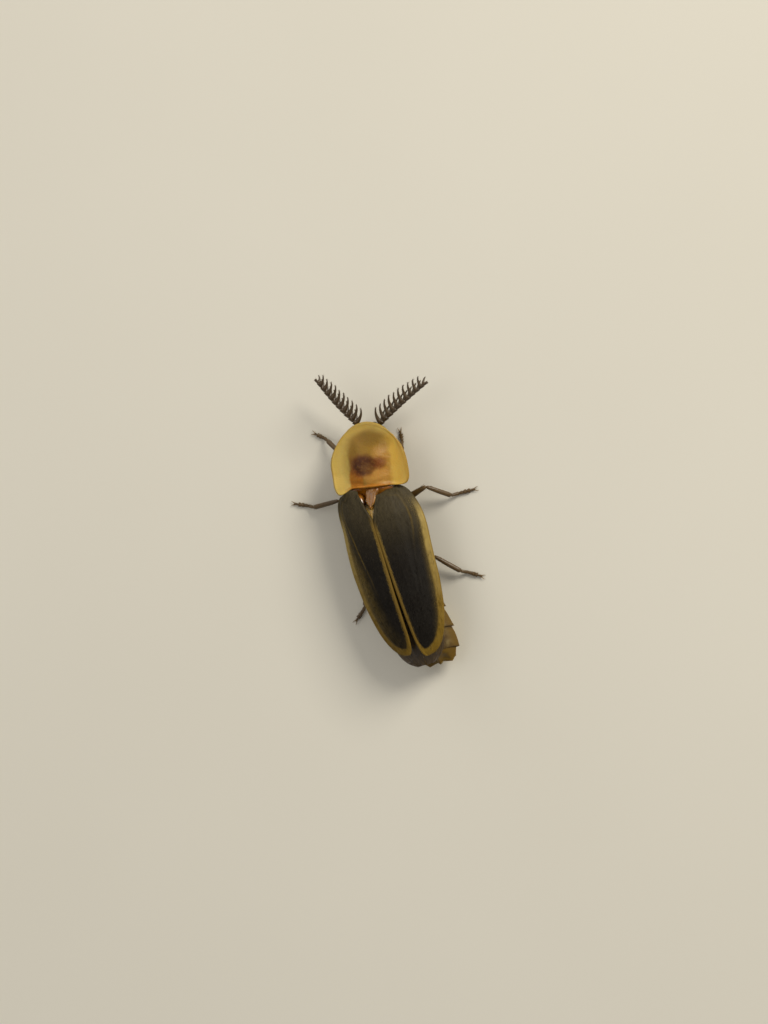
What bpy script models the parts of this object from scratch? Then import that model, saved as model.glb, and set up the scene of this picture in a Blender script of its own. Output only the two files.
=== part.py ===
"""A male firefly with comb feelers, life size, standing on the floor.

The hind body lies along +Y and the head points to -Y. The beetle's right side is -X.
The fore body (head, feelers, prothorax, shield) turns with the neck a little to the right.
All names of sizes are in metres, and MM turns millimetres into them.
"""

import math
import random

import bmesh
import bpy
from mathutils import Vector

MM = 0.001
WELD = 0.002 * MM
GAP = 0.3 * MM
PLATE = 0.5 * MM

# Place of the hind body's middle line and of the neck
MIDDLE = Vector((0.07, -1.86, 0.0)) * MM
NECK = Vector((-0.42, -0.55, 0.0)) * MM
NECK_TURN = math.radians(-11.0)

# Wing cases
CASE_LENGTH = 13.5 * MM
CASE_START = {"left": -0.45 * MM, "right": 0.0}
CASE_REACH = 3.52 * MM
CASE_WIDEST = 5.0 * MM
CASE_SHOULDER = 2.4 * MM
CASE_BASE_REACH = 2.1 * MM
CASE_TIP = 0.7 * MM
CASE_TIP_POWER = 0.42
CASE_SEAM = 0.16 * MM
CASE_BASE_NOTCH = 0.75 * MM
CASE_PARTING = 0.012
CASE_TIP_CURVE = 1.8 * MM
CASE_BASE_CURVE = 2.2 * MM
CASE_TIP_SLOPE = 6.5 * MM
CASE_CROWN = 4.6 * MM
CASE_BASE_DROP = 0.4 * MM
CASE_TIP_DROP = 0.7 * MM
CASE_SIDE_DROP = 1.9 * MM
CASE_RIM = 0.14 * MM
COSTA_PLACES = (0.36, 0.68)
COSTA_WIDTH = 0.05
COSTA_HEIGHT = 0.1 * MM

# Hind wings, folded under the cases
WING_START = 1.5 * MM
WING_END = 14.35 * MM
WING_SEAM = 0.16 * MM
WING_DEPTH = 0.87 * MM
WING_TIP_DEPTH = 0.45 * MM
WING_REACH = ((1.5, 1.5), (4.0, 1.95), (9.0, 2.0), (12.3, 2.22), (13.3, 1.95), (14.0, 1.4), (14.35, 0.8))
VEIN_PLACES = (0.45, 0.82)
VEIN_WIDTH = 0.09
VEIN_HEIGHT = 0.12 * MM

# Shield over the head, in the fore body's own frame
SHIELD_REACH = 3.15 * MM
SHIELD_CENTRE = -1.9 * MM
SHIELD_FRONT = 3.45 * MM
SHIELD_BACK = 1.7 * MM
SHIELD_POWERS = (1.95, 4.5)
SHIELD_LEVEL = 3.3 * MM
SHIELD_SLOPE = 0.03
SHIELD_FALL = 0.12 * MM
SHIELD_RIM = 0.1 * MM
SHIELD_CORNERS = {"left": 0.42 * MM, "right": 0.12 * MM}
DISC_REACH = 2.45 * MM
DISC_RISE = 0.9 * MM
DISC_FRONT = -5.05 * MM
DISC_TOP = -2.4 * MM
DISC_HIND_DROP = 0.25

# Trunk
TRUNK_FLOOR = 1.3 * MM
TRUNK_TOP = 2.85 * MM
ABDOMEN_START = 4.25 * MM
SEGMENT_ENDS = tuple(value * MM for value in (4.9, 6.6, 8.3, 10.0, 11.7, 13.4, 14.5))
ABDOMEN_REACH = ((4.0, 2.2), (6.5, 2.4), (9.0, 2.35), (11.0, 2.1), (12.5, 1.9), (13.6, 1.6), (14.6, 1.15))
LOBE_FLARE = 0.34 * MM
LOBE_POINT = 0.28 * MM
LOBE_STEP = 0.09 * MM
TAIL_NOTCH = 0.4 * MM
EDGE_HALF = 0.16 * MM
ABDOMEN_BEND = 0.85 * MM
EDGE_LEVEL = 1.75 * MM
TAIL_DROOP = 0.5 * MM

# Head
HEAD_CENTRE = Vector((0.0, -4.55, 2.0)) * MM
HEAD_HALF = Vector((0.62, 0.68, 0.62)) * MM
HEAD_FLAT = 0.55 * MM
EYE_RADIUS = 0.6 * MM
EYE_PLACE = Vector((0.85, 0.0, 0.05)) * MM
JAW = ((0.22, -4.95, 1.65, 0.2), (0.3, -5.18, 1.4, 0.16), (0.12, -5.3, 1.25, 0.08))
PALP = ((0.3, -4.85, 1.5, 0.2), (0.5, -5.02, 1.15, 0.24), (0.55, -5.2, 0.85, 0.24), (0.5, -5.32, 0.65, 0.12))

# Feelers, in the fore body's own frame: root and tip
FEELER_ENDS = {
    "left": (Vector((0.84, -5.5, 2.12)) * MM, Vector((3.72, -9.35, 3.2)) * MM),
    "right": (Vector((-1.12, -5.38, 2.14)) * MM, Vector((-5.58, -8.38, 3.2)) * MM),
}
FEELER_RADIUS = 0.26 * MM
BRANCHES = 10
BRANCH_LENGTH = 1.12 * MM
BRANCH_SPREADS = (0.9, 0.45)
BRANCH_FLATNESS = 1.75
BRANCH_RADII = (0.15, 0.14, 0.11, 0.05)
FEELER_BOW = 0.12 * MM

# Legs: hip, knee, ankle and tip of the foot, in the hind body's frame, in millimetres
LEGS = {
    "fore_left": ((-0.15, -3.15, 0.85), (1.75, -4.0, 1.55), (2.85, -5.4, 0.66), (3.9, -6.3, 0.2)),
    "fore_right": ((-1.45, -2.85, 0.85), (-2.75, -1.55, 1.55), (-3.0, -3.15, 0.62), (-3.12, -4.35, 0.2)),
    "mid_left": ((0.75, 1.2, 0.78), (3.2, -0.5, 1.45), (5.7, -0.6, 0.6), (7.4, -1.38, 0.2)),
    "mid_right": ((-0.95, 1.3, 0.78), (-4.25, 0.55, 1.75), (-5.7, 1.85, 0.6), (-7.6, 1.95, 0.2)),
    "hind_left": ((0.7, 3.3, 0.78), (2.9, 5.9, 1.25), (4.1, 8.3, 0.6), (5.4, 9.25, 0.2)),
    "hind_right": ((-0.8, 3.4, 0.78), (-2.95, 6.05, 1.25), (-4.55, 7.9, 0.6), (-5.95, 8.8, 0.2)),
}
FEMUR_RADIUS = 0.34 * MM
TIBIA_RADIUS = 0.27 * MM
FOOT_RADIUS = 0.26 * MM
FOOT_LEVEL = 0.23 * MM
FOOT_JOINTS = 3
HIP_HALF = Vector((0.5, 0.42, 0.27)) * MM
CLAW_RADII = (0.1, 0.08, 0.03)


def clear_scene():
    for obj in list(bpy.data.objects):
        bpy.data.objects.remove(obj, do_unlink=True)


def finish(name, colour, roughness, metallic=0.0):
    """A plain Principled material."""
    material = bpy.data.materials.new(name)
    material.use_nodes = True
    shader = material.node_tree.nodes["Principled BSDF"]
    shader.inputs["Base Color"].default_value = (*colour, 1.0)
    shader.inputs["Roughness"].default_value = roughness
    shader.inputs["Metallic"].default_value = metallic
    return material


def frame_empty(name, collection, place, turn=0.0, parent=None):
    empty = bpy.data.objects.new(name, None)
    empty.location = place
    empty.rotation_euler = (0.0, 0.0, turn)
    empty.parent = parent
    collection.objects.link(empty)
    return empty


def add_node(name, bm, material, parent):
    """Makes a named sub-part of a closed or open bmesh and sets it in its frame."""
    mesh = bpy.data.meshes.new(name)
    bm.to_mesh(mesh)
    bm.free()
    mesh.shade_smooth()
    mesh.set_sharp_from_angle(angle=math.radians(50.0))
    mesh.materials.append(material)
    obj = bpy.data.objects.new(name, mesh)
    obj.parent = parent
    FIREFLY.objects.link(obj)
    return obj


def smooth_step(low, high, value):
    t = min(1.0, max(0.0, (value - low) / (high - low)))
    return t * t * (3.0 - 2.0 * t)


def through(points, t):
    """Value at t of a smooth curve through (t, value) pairs, which are in order of t."""
    if t <= points[0][0]:
        return points[0][1]
    if t >= points[-1][0]:
        return points[-1][1]
    i = max(k for k in range(len(points) - 1) if points[k][0] <= t)

    def slope(k):
        before, after = points[max(k - 1, 0)], points[min(k + 1, len(points) - 1)]
        return (after[1] - before[1]) / (after[0] - before[0])

    (t0, v0), (t1, v1) = points[i], points[i + 1]
    span = t1 - t0
    s = (t - t0) / span
    ease = s * s * (3.0 - 2.0 * s)
    start = (s * s * s - 2.0 * s * s + s) * span * slope(i)
    end = (s * s * s - s * s) * span * slope(i + 1)
    return v0 + (v1 - v0) * ease + start + end


def surface(place, columns, rows):
    """An open grid of triangles, carried from (u, v) in 0..1 to place(u, v)."""
    bm = bmesh.new()
    bmesh.ops.create_grid(bm, x_segments=columns, y_segments=rows, size=0.5)
    for vertex in bm.verts:
        vertex.co = place(vertex.co.x + 0.5, vertex.co.y + 0.5)
    bmesh.ops.remove_doubles(bm, verts=bm.verts, dist=WELD)
    bmesh.ops.triangulate(bm, faces=bm.faces)
    return bm


def slab(outline, top, bottom, columns, rows):
    """A closed body between two heights over the outline(u, v) -> (x, y)."""
    bm = surface(lambda u, v: Vector((*outline(u, v), 0.0)), columns, rows)
    raised = bmesh.ops.extrude_face_region(bm, geom=bm.faces[:])["geom"]
    upper = {item for item in raised if isinstance(item, bmesh.types.BMVert)}
    for vertex in bm.verts:
        height = top if vertex in upper else bottom
        vertex.co.z = height(vertex.co.x, vertex.co.y)
    bmesh.ops.recalc_face_normals(bm, faces=bm.faces)
    return bm


def tube(path, radii, resolution=2):
    """A closed mesh object: a round bar along a path, whose radius changes from point to point."""
    curve = bpy.data.curves.new("tube", "CURVE")
    curve.dimensions = "3D"
    curve.bevel_depth = 1.0
    curve.bevel_resolution = resolution
    curve.use_fill_caps = True
    spline = curve.splines.new("POLY")
    spline.points.add(len(path) - 1)
    for point, place, radius in zip(spline.points, path, radii):
        point.co = (*place, 1.0)
        point.radius = radius
    obj = bpy.data.objects.new("tube", curve)
    FIREFLY.objects.link(obj)
    graph = bpy.context.evaluated_depsgraph_get()
    mesh = bpy.data.meshes.new_from_object(obj.evaluated_get(graph))
    bpy.data.objects.remove(obj, do_unlink=True)
    bm = bmesh.new()
    bm.from_mesh(mesh)
    bpy.data.meshes.remove(mesh)
    bmesh.ops.remove_doubles(bm, verts=bm.verts, dist=WELD)
    bmesh.ops.triangulate(bm, faces=bm.faces)
    bmesh.ops.recalc_face_normals(bm, faces=bm.faces)
    return bm


def ball(centre, radii, segments=12, rings=8):
    bm = bmesh.new()
    bmesh.ops.create_uvsphere(bm, u_segments=segments, v_segments=rings, radius=1.0)
    for vertex in bm.verts:
        vertex.co = centre + Vector(a * b for a, b in zip(vertex.co, radii))
    return bm


def largest_surface(bm):
    """Keeps only the largest closed surface of a fused mesh."""
    islands = []
    left = set(bm.faces)
    while left:
        island, edge = set(), [left.pop()]
        while edge:
            face = edge.pop()
            island.add(face)
            near = {other for side in face.edges for other in side.link_faces} & left
            left -= near
            edge += near
        islands.append(island)
    islands.sort(key=lambda faces: sum(face.calc_area() for face in faces))
    scraps = [face for island in islands[:-1] for face in island]
    bmesh.ops.delete(bm, geom=scraps, context="FACES")


def fuse(pieces):
    """Joins closed meshes with one Boolean union and keeps the largest closed surface."""
    joined = bpy.data.collections.new("joined")
    objects = []
    for bm in pieces:
        mesh = bpy.data.meshes.new("piece")
        bm.to_mesh(mesh)
        bm.free()
        objects.append(bpy.data.objects.new("piece", mesh))
    body = objects[0]
    FIREFLY.objects.link(body)
    for obj in objects[1:]:
        joined.objects.link(obj)
    FIREFLY.children.link(joined)
    union = body.modifiers.new("join", "BOOLEAN")
    union.operation = "UNION"
    union.operand_type = "COLLECTION"
    union.collection = joined
    union.solver = "EXACT"
    graph = bpy.context.evaluated_depsgraph_get()
    mesh = bpy.data.meshes.new_from_object(body.evaluated_get(graph))
    for obj in objects:
        bpy.data.objects.remove(obj, do_unlink=True)
    bpy.data.collections.remove(joined)
    bm = bmesh.new()
    bm.from_mesh(mesh)
    bpy.data.meshes.remove(mesh)
    bmesh.ops.remove_doubles(bm, verts=bm.verts, dist=WELD)
    bmesh.ops.dissolve_degenerate(bm, edges=bm.edges, dist=WELD)
    bmesh.ops.triangulate(bm, faces=bm.faces)
    largest_surface(bm)
    return bm


def case_outer(s):
    """Distance of the wing case's outer edge from the middle line, s from its base."""
    if s < CASE_SHOULDER:
        t = ((CASE_SHOULDER - s) / CASE_SHOULDER) ** 2.6
        return CASE_BASE_REACH + (CASE_REACH - CASE_BASE_REACH) * math.sqrt(1.0 - t)
    t = max(0.0, (s - CASE_WIDEST) / (CASE_LENGTH - CASE_WIDEST)) ** 2.1
    return CASE_TIP + (CASE_REACH - CASE_TIP) * max(0.0, 1.0 - t) ** CASE_TIP_POWER


def case_inner(s):
    """Distance of the wing case's seam edge from the middle line."""
    notch = CASE_BASE_NOTCH * max(0.0, (CASE_SHOULDER - s) / CASE_SHOULDER) ** 1.3
    parting = CASE_PARTING * max(0.0, s - CASE_SHOULDER)
    near_tip = max(0.0, 1.0 - (CASE_LENGTH - s) / CASE_TIP_CURVE)
    tip = (CASE_TIP - CASE_SEAM - 0.13 * MM) * near_tip**3
    return min(CASE_SEAM + notch + parting + tip, CASE_TIP)


def case_crown(s):
    """Height of the pair of wing cases on the middle line."""
    base = CASE_BASE_DROP * max(0.0, 1.0 - s / CASE_BASE_CURVE) ** 2
    tip = CASE_TIP_DROP * max(0.0, 1.0 - (CASE_LENGTH - s) / CASE_TIP_SLOPE) ** 2
    return CASE_CROWN - base - tip


def case_height(x, s):
    """Height of the smooth upper face of a wing case."""
    outer = case_outer(s)
    drop = CASE_SIDE_DROP * (outer / CASE_REACH) ** 1.6
    return case_crown(s) - drop * (abs(x) / outer) ** 2.5


def case_ridges(across):
    """Rim and costae, by the place across the case from seam to outer edge."""
    rim = CASE_RIM * smooth_step(0.86, 1.0, across)
    costae = sum(math.exp(-(((across - place) / COSTA_WIDTH) ** 2)) for place in COSTA_PLACES)
    return rim + COSTA_HEIGHT * costae


def wing_case(side):
    sign = 1.0 if side == "left" else -1.0

    def place(u, v):
        across = u if sign > 0 else 1.0 - u
        s = CASE_LENGTH * (1.0 - math.cos(math.pi * v)) / 2.0
        inner, outer = case_inner(s), case_outer(s)
        x = inner + (outer - inner) * across
        fade = smooth_step(0.0, 0.08, v) * (1.0 - smooth_step(0.66, 0.86, v))
        z = case_height(x, s) + case_ridges(across) * fade
        return Vector((sign * x, CASE_START[side] + s, z))

    obj = add_node(f"elytron_{side}", surface(place, 14, 26), SHELL, BODY)
    solidify = obj.modifiers.new("thickness", "SOLIDIFY")
    solidify.thickness = PLATE
    solidify.offset = -1.0


def wing_height(x, y):
    """Height of the folded hind wing's upper face."""
    behind = smooth_step(8.5 * MM, 12.5 * MM, y)
    side = (1.9 - 0.7 * behind) * MM * (abs(x) / (3.3 * MM)) ** 2.2
    return case_crown(y) - WING_DEPTH - WING_TIP_DEPTH * behind - side


def hind_wing(side):
    sign = 1.0 if side == "left" else -1.0

    def place(u, v):
        across = u if sign > 0 else 1.0 - u
        y = WING_START + (WING_END - WING_START) * (1.0 - (1.0 - v) ** 1.5)
        outer = through(WING_REACH, y / MM) * MM
        x = WING_SEAM + (outer - WING_SEAM) * across
        vein = sum(math.exp(-(((across - place) / VEIN_WIDTH) ** 2)) for place in VEIN_PLACES)
        fade = smooth_step(12.4 * MM, 13.1 * MM, y) * (1.0 - smooth_step(13.3 * MM, 14.1 * MM, y))
        return Vector((sign * x, y, wing_height(x, y) + VEIN_HEIGHT * vein * fade))

    obj = add_node(f"hindwing_{side}", surface(place, 8, 22), MEMBRANE, BODY)
    solidify = obj.modifiers.new("thickness", "SOLIDIFY")
    solidify.thickness = PLATE
    solidify.offset = -1.0


def disc_point(u, v):
    """A point of the unit disc from one of the unit square, without crowding at the middle."""
    a, b = 2.0 * u - 1.0, 2.0 * v - 1.0
    return a * math.sqrt(1.0 - b * b / 2.0), b * math.sqrt(1.0 - a * a / 2.0)


def shield_outline(angle):
    """Distance of the shield's edge from its centre, by angle from the beetle's left."""
    across, along = math.cos(angle), math.sin(angle)
    ahead, behind = SHIELD_POWERS
    power, depth = (ahead, SHIELD_FRONT) if along < 0.0 else (behind, SHIELD_BACK)
    return (abs(across / SHIELD_REACH) ** power + abs(along / depth) ** power) ** (-1.0 / power)


def shield_height(x, y):
    """Height of the shield's upper face: broad flanges that run up into a rounded disc."""
    flange = SHIELD_LEVEL + SHIELD_SLOPE * (y - SHIELD_CENTRE) - SHIELD_FALL * (x / SHIELD_REACH) ** 2
    along = smooth_step(DISC_FRONT, DISC_TOP, y)
    hind = 1.0 - DISC_HIND_DROP * smooth_step(-1.0 * MM, 0.1 * MM, y)
    across = max(0.0, 1.0 - (x / DISC_REACH) ** 2) ** 2
    return flange + DISC_RISE * along * hind * across


def shield():
    def place(u, v):
        a, b = disc_point(u, v)
        reach, angle = math.hypot(a, b), math.atan2(b, a)
        edge = shield_outline(angle) * reach
        x, y = edge * math.cos(angle), SHIELD_CENTRE + edge * math.sin(angle)
        corner = SHIELD_CORNERS["left" if x > 0.0 else "right"]
        y += corner * smooth_step(0.4, 0.8, abs(x) / SHIELD_REACH) * smooth_step(-1.2 * MM, -0.2 * MM, y)
        rim = SHIELD_RIM * smooth_step(0.82, 1.0, reach)
        return Vector((x, y, shield_height(x, y) + rim))

    obj = add_node("pronotum", surface(place, 16, 16), SHIELD, NECK_FRAME)
    solidify = obj.modifiers.new("thickness", "SOLIDIFY")
    solidify.thickness = PLATE
    solidify.offset = -1.0


def rounded_plan(reach, front, back, power=4.0):
    """A plan outline: a soft-cornered rectangle between two ends."""
    middle, half = (front + back) / 2.0, (back - front) / 2.0

    def outline(u, v):
        a, b = disc_point(u, v)
        radius, angle = math.hypot(a, b), math.atan2(b, a)
        across, along = math.cos(angle), math.sin(angle)
        edge = (abs(across / reach) ** power + abs(along / half) ** power) ** (-1.0 / power)
        return edge * radius * across, middle + edge * radius * along

    return outline


def prothorax():
    """The body under the shield, which holds the fore legs and, in front, the head."""
    reach, front, back = 1.75 * MM, -3.55 * MM, -0.2 * MM

    def top(x, y):
        return shield_height(x, y) - PLATE - 1.25 * GAP

    def bottom(x, y):
        return TRUNK_FLOOR + 0.1 * MM + 0.65 * MM * (x / reach) ** 2

    add_node("prothorax", slab(rounded_plan(reach, front, back), top, bottom, 10, 10), FLESH, NECK_FRAME)


def thorax():
    """The part of the trunk that holds the wings and the middle and hind legs."""
    reach, front, back = 2.45 * MM, 0.2 * MM, 3.95 * MM

    def top(x, y):
        return TRUNK_TOP - 0.75 * MM * (abs(x) / reach) ** 1.8

    def bottom(x, y):
        return TRUNK_FLOOR + 0.55 * MM * (x / reach) ** 2

    outline = rounded_plan(reach, front, back)
    add_node("metathorax", slab(outline, top, bottom, 12, 10), DARK, BODY)


def scutellum():
    """The plate between the bases of the wing cases, with its small triangle pointing back."""
    reach, front, back = 1.75 * MM, -0.3 * MM, 1.15 * MM

    def top(x, y):
        return case_height(x, max(0.0, y)) - PLATE - 1.3 * GAP

    def bottom(x, y):
        return TRUNK_TOP + GAP - 0.75 * MM * (abs(x) / (2.45 * MM)) ** 1.8

    def triangle(u, v):
        y = front + (1.0 * MM - front) * v
        half = 0.5 * MM * (1.0 - 0.8 * smooth_step(0.25, 1.0, v))
        return (2.0 * u - 1.0) * half, y

    def triangle_top(x, y):
        return case_crown(max(0.0, y)) - 0.28 * MM - 0.3 * MM * (x / (0.5 * MM)) ** 2

    base = slab(rounded_plan(reach, front, back), top, bottom, 10, 6)
    tongue = slab(triangle, triangle_top, lambda x, y: TRUNK_TOP + 2.0 * GAP, 4, 4)
    add_node("scutellum", fuse([base, tongue]), AMBER, BODY)


def abdomen_middle(y):
    """The abdomen's middle line bends to the beetle's right behind."""
    return -ABDOMEN_BEND * smooth_step(6.5 * MM, 13.5 * MM, y)


def segment_phase(y):
    """How far y lies along its body segment, from 0 at its front to 1 at its hind corner."""
    starts = (3.2 * MM,) + SEGMENT_ENDS
    for start, end in zip(starts, starts[1:]):
        if y < end:
            return (y - start) / (end - start)
    return 1.0


def abdomen_length(name, front, back, rows, material, notched=False):
    """A length of the abdomen, whose segments flare into pointed hind corners."""
    ends = [front] + [end for end in SEGMENT_ENDS if front < end < back - 0.05 * MM] + [back]
    levels = []
    for start, end in zip(ends, ends[1:]):
        levels += [start + (end - start - LOBE_STEP) * k / rows for k in range(rows + 1)]
    levels.append(back)
    count = len(levels) - 1

    def outline(u, v):
        y = levels[round(v * count)]
        phase = min(1.0, segment_phase(y))
        reach = through(ABDOMEN_REACH, y / MM) * MM + LOBE_FLARE * phase**2.2
        a = 2.0 * u - 1.0
        middle = abdomen_middle(y)
        if notched:
            y -= TAIL_NOTCH * v * abs(math.sin(1.5 * math.pi * a))
        else:
            y += LOBE_POINT * abs(a) ** 6 * math.cos(math.pi * phase) ** 2
        return middle + reach * a, y

    def relative(x, y):
        reach = through(ABDOMEN_REACH, y / MM) * MM + 0.2 * MM
        return min(1.15, abs(x - abdomen_middle(y)) / reach)

    def edge_level(y):
        return EDGE_LEVEL - TAIL_DROOP * smooth_step(8.0 * MM, 13.0 * MM, y)

    def top(x, y):
        crown = wing_height(0.0, y) - PLATE - 1.5 * GAP + 0.05 * MM * segment_phase(y)
        edge = edge_level(y) + EDGE_HALF
        dome = edge + (crown - edge) * (1.0 - relative(x, y) ** 1.8)
        if abs(x) < through(WING_REACH, y / MM) * MM + 0.25 * MM:
            dome = min(dome, wing_height(x, y) - PLATE - 1.3 * GAP)
        return dome

    def bottom(x, y):
        keel = TRUNK_FLOOR - 0.1 * MM - 0.3 * MM * smooth_step(9.0 * MM, 14.0 * MM, y)
        keel -= 0.05 * MM * segment_phase(y)
        edge = edge_level(y) - EDGE_HALF
        return edge + (keel - edge) * (1.0 - relative(x, y) ** 2.2)

    add_node(name, slab(outline, top, bottom, 12, count), material, BODY)


def abdomen():
    abdomen_length("abdomen", ABDOMEN_START, 9.85 * MM, 4, DARK)
    abdomen_length("lantern", 10.15 * MM, 13.25 * MM, 4, LANTERN)
    abdomen_length("tail_segment", 13.55 * MM, 14.6 * MM, 4, PALE, notched=True)


def head():
    """The head under the shield's hood, with jaws and palps; its sides are flat for the eyes."""
    capsule = ball(HEAD_CENTRE, HEAD_HALF, 16, 12)
    for vertex in capsule.verts:
        vertex.co.x = max(-HEAD_FLAT, min(HEAD_FLAT, vertex.co.x))
    pieces = [capsule]
    for sign in (-1.0, 1.0):
        for path in (JAW, PALP):
            points = [Vector((sign * x, y, z)) * MM for x, y, z, radius in path]
            pieces.append(tube(points, [radius * MM for x, y, z, radius in path], 1))
    add_node("head", fuse(pieces), DARK, NECK_FRAME)


def eye(side):
    """Half a ball whose flat face meets the head's flat side."""
    sign = 1.0 if side == "left" else -1.0
    centre = HEAD_CENTRE + Vector((sign * EYE_PLACE.x, EYE_PLACE.y, EYE_PLACE.z))
    bm = ball(centre, Vector((1.0, 1.0, 1.0)) * EYE_RADIUS, 16, 10)
    geometry = bm.verts[:] + bm.edges[:] + bm.faces[:]
    bmesh.ops.bisect_plane(bm, geom=geometry, plane_co=centre, plane_no=(sign, 0.0, 0.0), clear_inner=True)
    bmesh.ops.holes_fill(bm, edges=bm.edges[:], sides=0)
    bmesh.ops.recalc_face_normals(bm, faces=bm.faces)
    add_node(f"eye_{side}", bm, EYE, NECK_FRAME)


def feeler(side):
    """A feeler: a jointed stem with a flat branch on each side of every joint but the first two."""
    draw = random.Random(f"feeler {side}")
    root, tip = FEELER_ENDS[side]
    ahead = (tip - root).normalized()
    aside = Vector((0.0, 0.0, 1.0)).cross(ahead).normalized()
    inward = aside if aside.y < 0.0 else -aside
    length = (tip - root).length

    def on_stem(t):
        return root + ahead * (length * t) + inward * (FEELER_BOW * math.sin(math.pi * t))

    steps = BRANCHES + 2
    path = [on_stem(k / steps) for k in range(steps + 1)]
    radii = [FEELER_RADIUS * (1.0 - 0.45 * k / steps) for k in range(steps)] + [0.06 * MM]
    pieces = [tube(path, radii, 2)]
    for number in range(BRANCHES):
        t = (number + 1.2) / steps
        start = on_stem(t)
        for way, spread in zip((inward, -inward), BRANCH_SPREADS):
            reach = BRANCH_LENGTH * (0.7 + 0.3 * math.sin(math.pi * t)) * draw.uniform(0.94, 1.06)
            heading = (ahead + way * spread).normalized()
            points = [start + heading * (reach * k) + ahead * (0.2 * MM * k * k) for k in (0.0, 0.4, 0.75, 1.0)]
            branch = tube(points, [radius * MM for radius in BRANCH_RADII], 1)
            for vertex in branch.verts:
                vertex.co.z = start.z + (vertex.co.z - start.z) * BRANCH_FLATNESS
            pieces.append(branch)
    add_node(f"antenna_{side}", fuse(pieces), DARK, NECK_FRAME)


def press_flat(bm):
    """Nothing of a foot reaches below the floor, so that it rests on a small flat."""
    for vertex in bm.verts:
        vertex.co.z = max(0.0, vertex.co.z)
    return bm


def joint_room(before, after, radius):
    """How far past a joint the next length of a leg starts, so that the two keep the gap when bent."""
    bend = before.angle(after)
    return GAP + radius * math.sin(bend) + radius * max(0.0, -math.cos(bend))


def leg(name, hip, knee, ankle, tip):
    """Thigh with hip and trochanter, shin with spurs, and five-jointed foot with two claws."""
    hip, knee, ankle, tip = (Vector(point) * MM for point in (hip, knee, ankle, tip))

    thigh = knee - hip
    steps = (0.0, 0.2, 0.45, 0.75, 0.93, 1.0)
    swell = (0.75, 0.95, 1.0, 0.85, 0.76, 0.5)
    shaft = tube([hip + thigh * t for t in steps], [FEMUR_RADIUS * k for k in swell])
    add_node(f"leg_{name}_femur", fuse([shaft, ball(hip, HIP_HALF)]), DARK, BODY)

    shin = ankle - knee
    start = knee + shin.normalized() * joint_room(thigh, shin, 0.6 * FEMUR_RADIUS)
    shin = ankle - start
    steps = (0.0, 0.1, 0.5, 0.88, 1.0)
    swell = (0.6, 0.93, 0.95, 1.0, 0.7)
    shaft = tube([start + shin * t for t in steps], [TIBIA_RADIUS * k for k in swell])
    add_node(f"leg_{name}_tibia", shaft, DARK, BODY)

    ahead = (tip - ankle).normalized()
    begin = ankle + ahead * joint_room(shin, ahead, 0.7 * TIBIA_RADIUS)
    reach = tip - begin
    path, radii = [], []
    for joint in range(FOOT_JOINTS):
        for part, width in ((0.12, 0.8), (0.75, 1.05)):
            t = (joint + part) / FOOT_JOINTS
            point = begin + reach * t
            point.z = max(FOOT_LEVEL, begin.z - (begin.z - FOOT_LEVEL) * t * 2.2)
            path.append(point)
            radii.append(FOOT_RADIUS * width)
    path.append(begin + reach)
    radii.append(FOOT_RADIUS * 0.55)
    pieces = [press_flat(tube(path, radii))]
    level = Vector((ahead.x, ahead.y, 0.0)).normalized()
    aside = Vector((-level.y, level.x, 0.0))
    for sign in (-1.0, 1.0):
        claw = [
            path[-1] - level * 0.15 * MM + aside * sign * 0.08 * MM,
            path[-1] + level * 0.15 * MM + aside * sign * 0.2 * MM,
            path[-1] + level * 0.32 * MM + aside * sign * 0.22 * MM - Vector((0.0, 0.0, 0.12)) * MM,
        ]
        pieces.append(tube(claw, [radius * MM for radius in CLAW_RADII], 1))
    add_node(f"leg_{name}_tarsus", fuse(pieces), DARK, BODY)


clear_scene()
FIREFLY = bpy.data.collections.new("firefly")
bpy.context.scene.collection.children.link(FIREFLY)
BODY = frame_empty("body_frame", FIREFLY, MIDDLE)
NECK_FRAME = frame_empty("neck_frame", FIREFLY, NECK, NECK_TURN, BODY)

SHELL = finish("wing_case", (0.035, 0.028, 0.02), 0.45)
MEMBRANE = finish("hind_wing", (0.09, 0.055, 0.025), 0.35)
SHIELD = finish("shield", (0.72, 0.5, 0.16), 0.4)
AMBER = finish("amber", (0.55, 0.24, 0.05), 0.3)
FLESH = finish("underside", (0.35, 0.2, 0.08), 0.5)
DARK = finish("dark_horn", (0.05, 0.032, 0.018), 0.5)
PALE = finish("translucent_edge", (0.38, 0.27, 0.08), 0.5)
LANTERN = finish("light_organ", (0.75, 0.7, 0.45), 0.55)
EYE = finish("eye", (0.01, 0.009, 0.008), 0.2)

shield()
prothorax()
head()
scutellum()
thorax()
abdomen()
for half in ("left", "right"):
    wing_case(half)
    hind_wing(half)
    eye(half)
    feeler(half)
for leg_name, joints in LEGS.items():
    leg(leg_name, *joints)
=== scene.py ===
"""The looks of a male firefly with comb feelers, standing on a pale floor.

Lengths are in millimetres in two frames. The body frame has +Y to the tail and +X to the beetle's left.
The neck frame belongs to the fore body, which turns a little to the beetle's right.
"""

import math

import bpy
import numpy as np
from mathutils import Matrix, Vector


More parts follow.
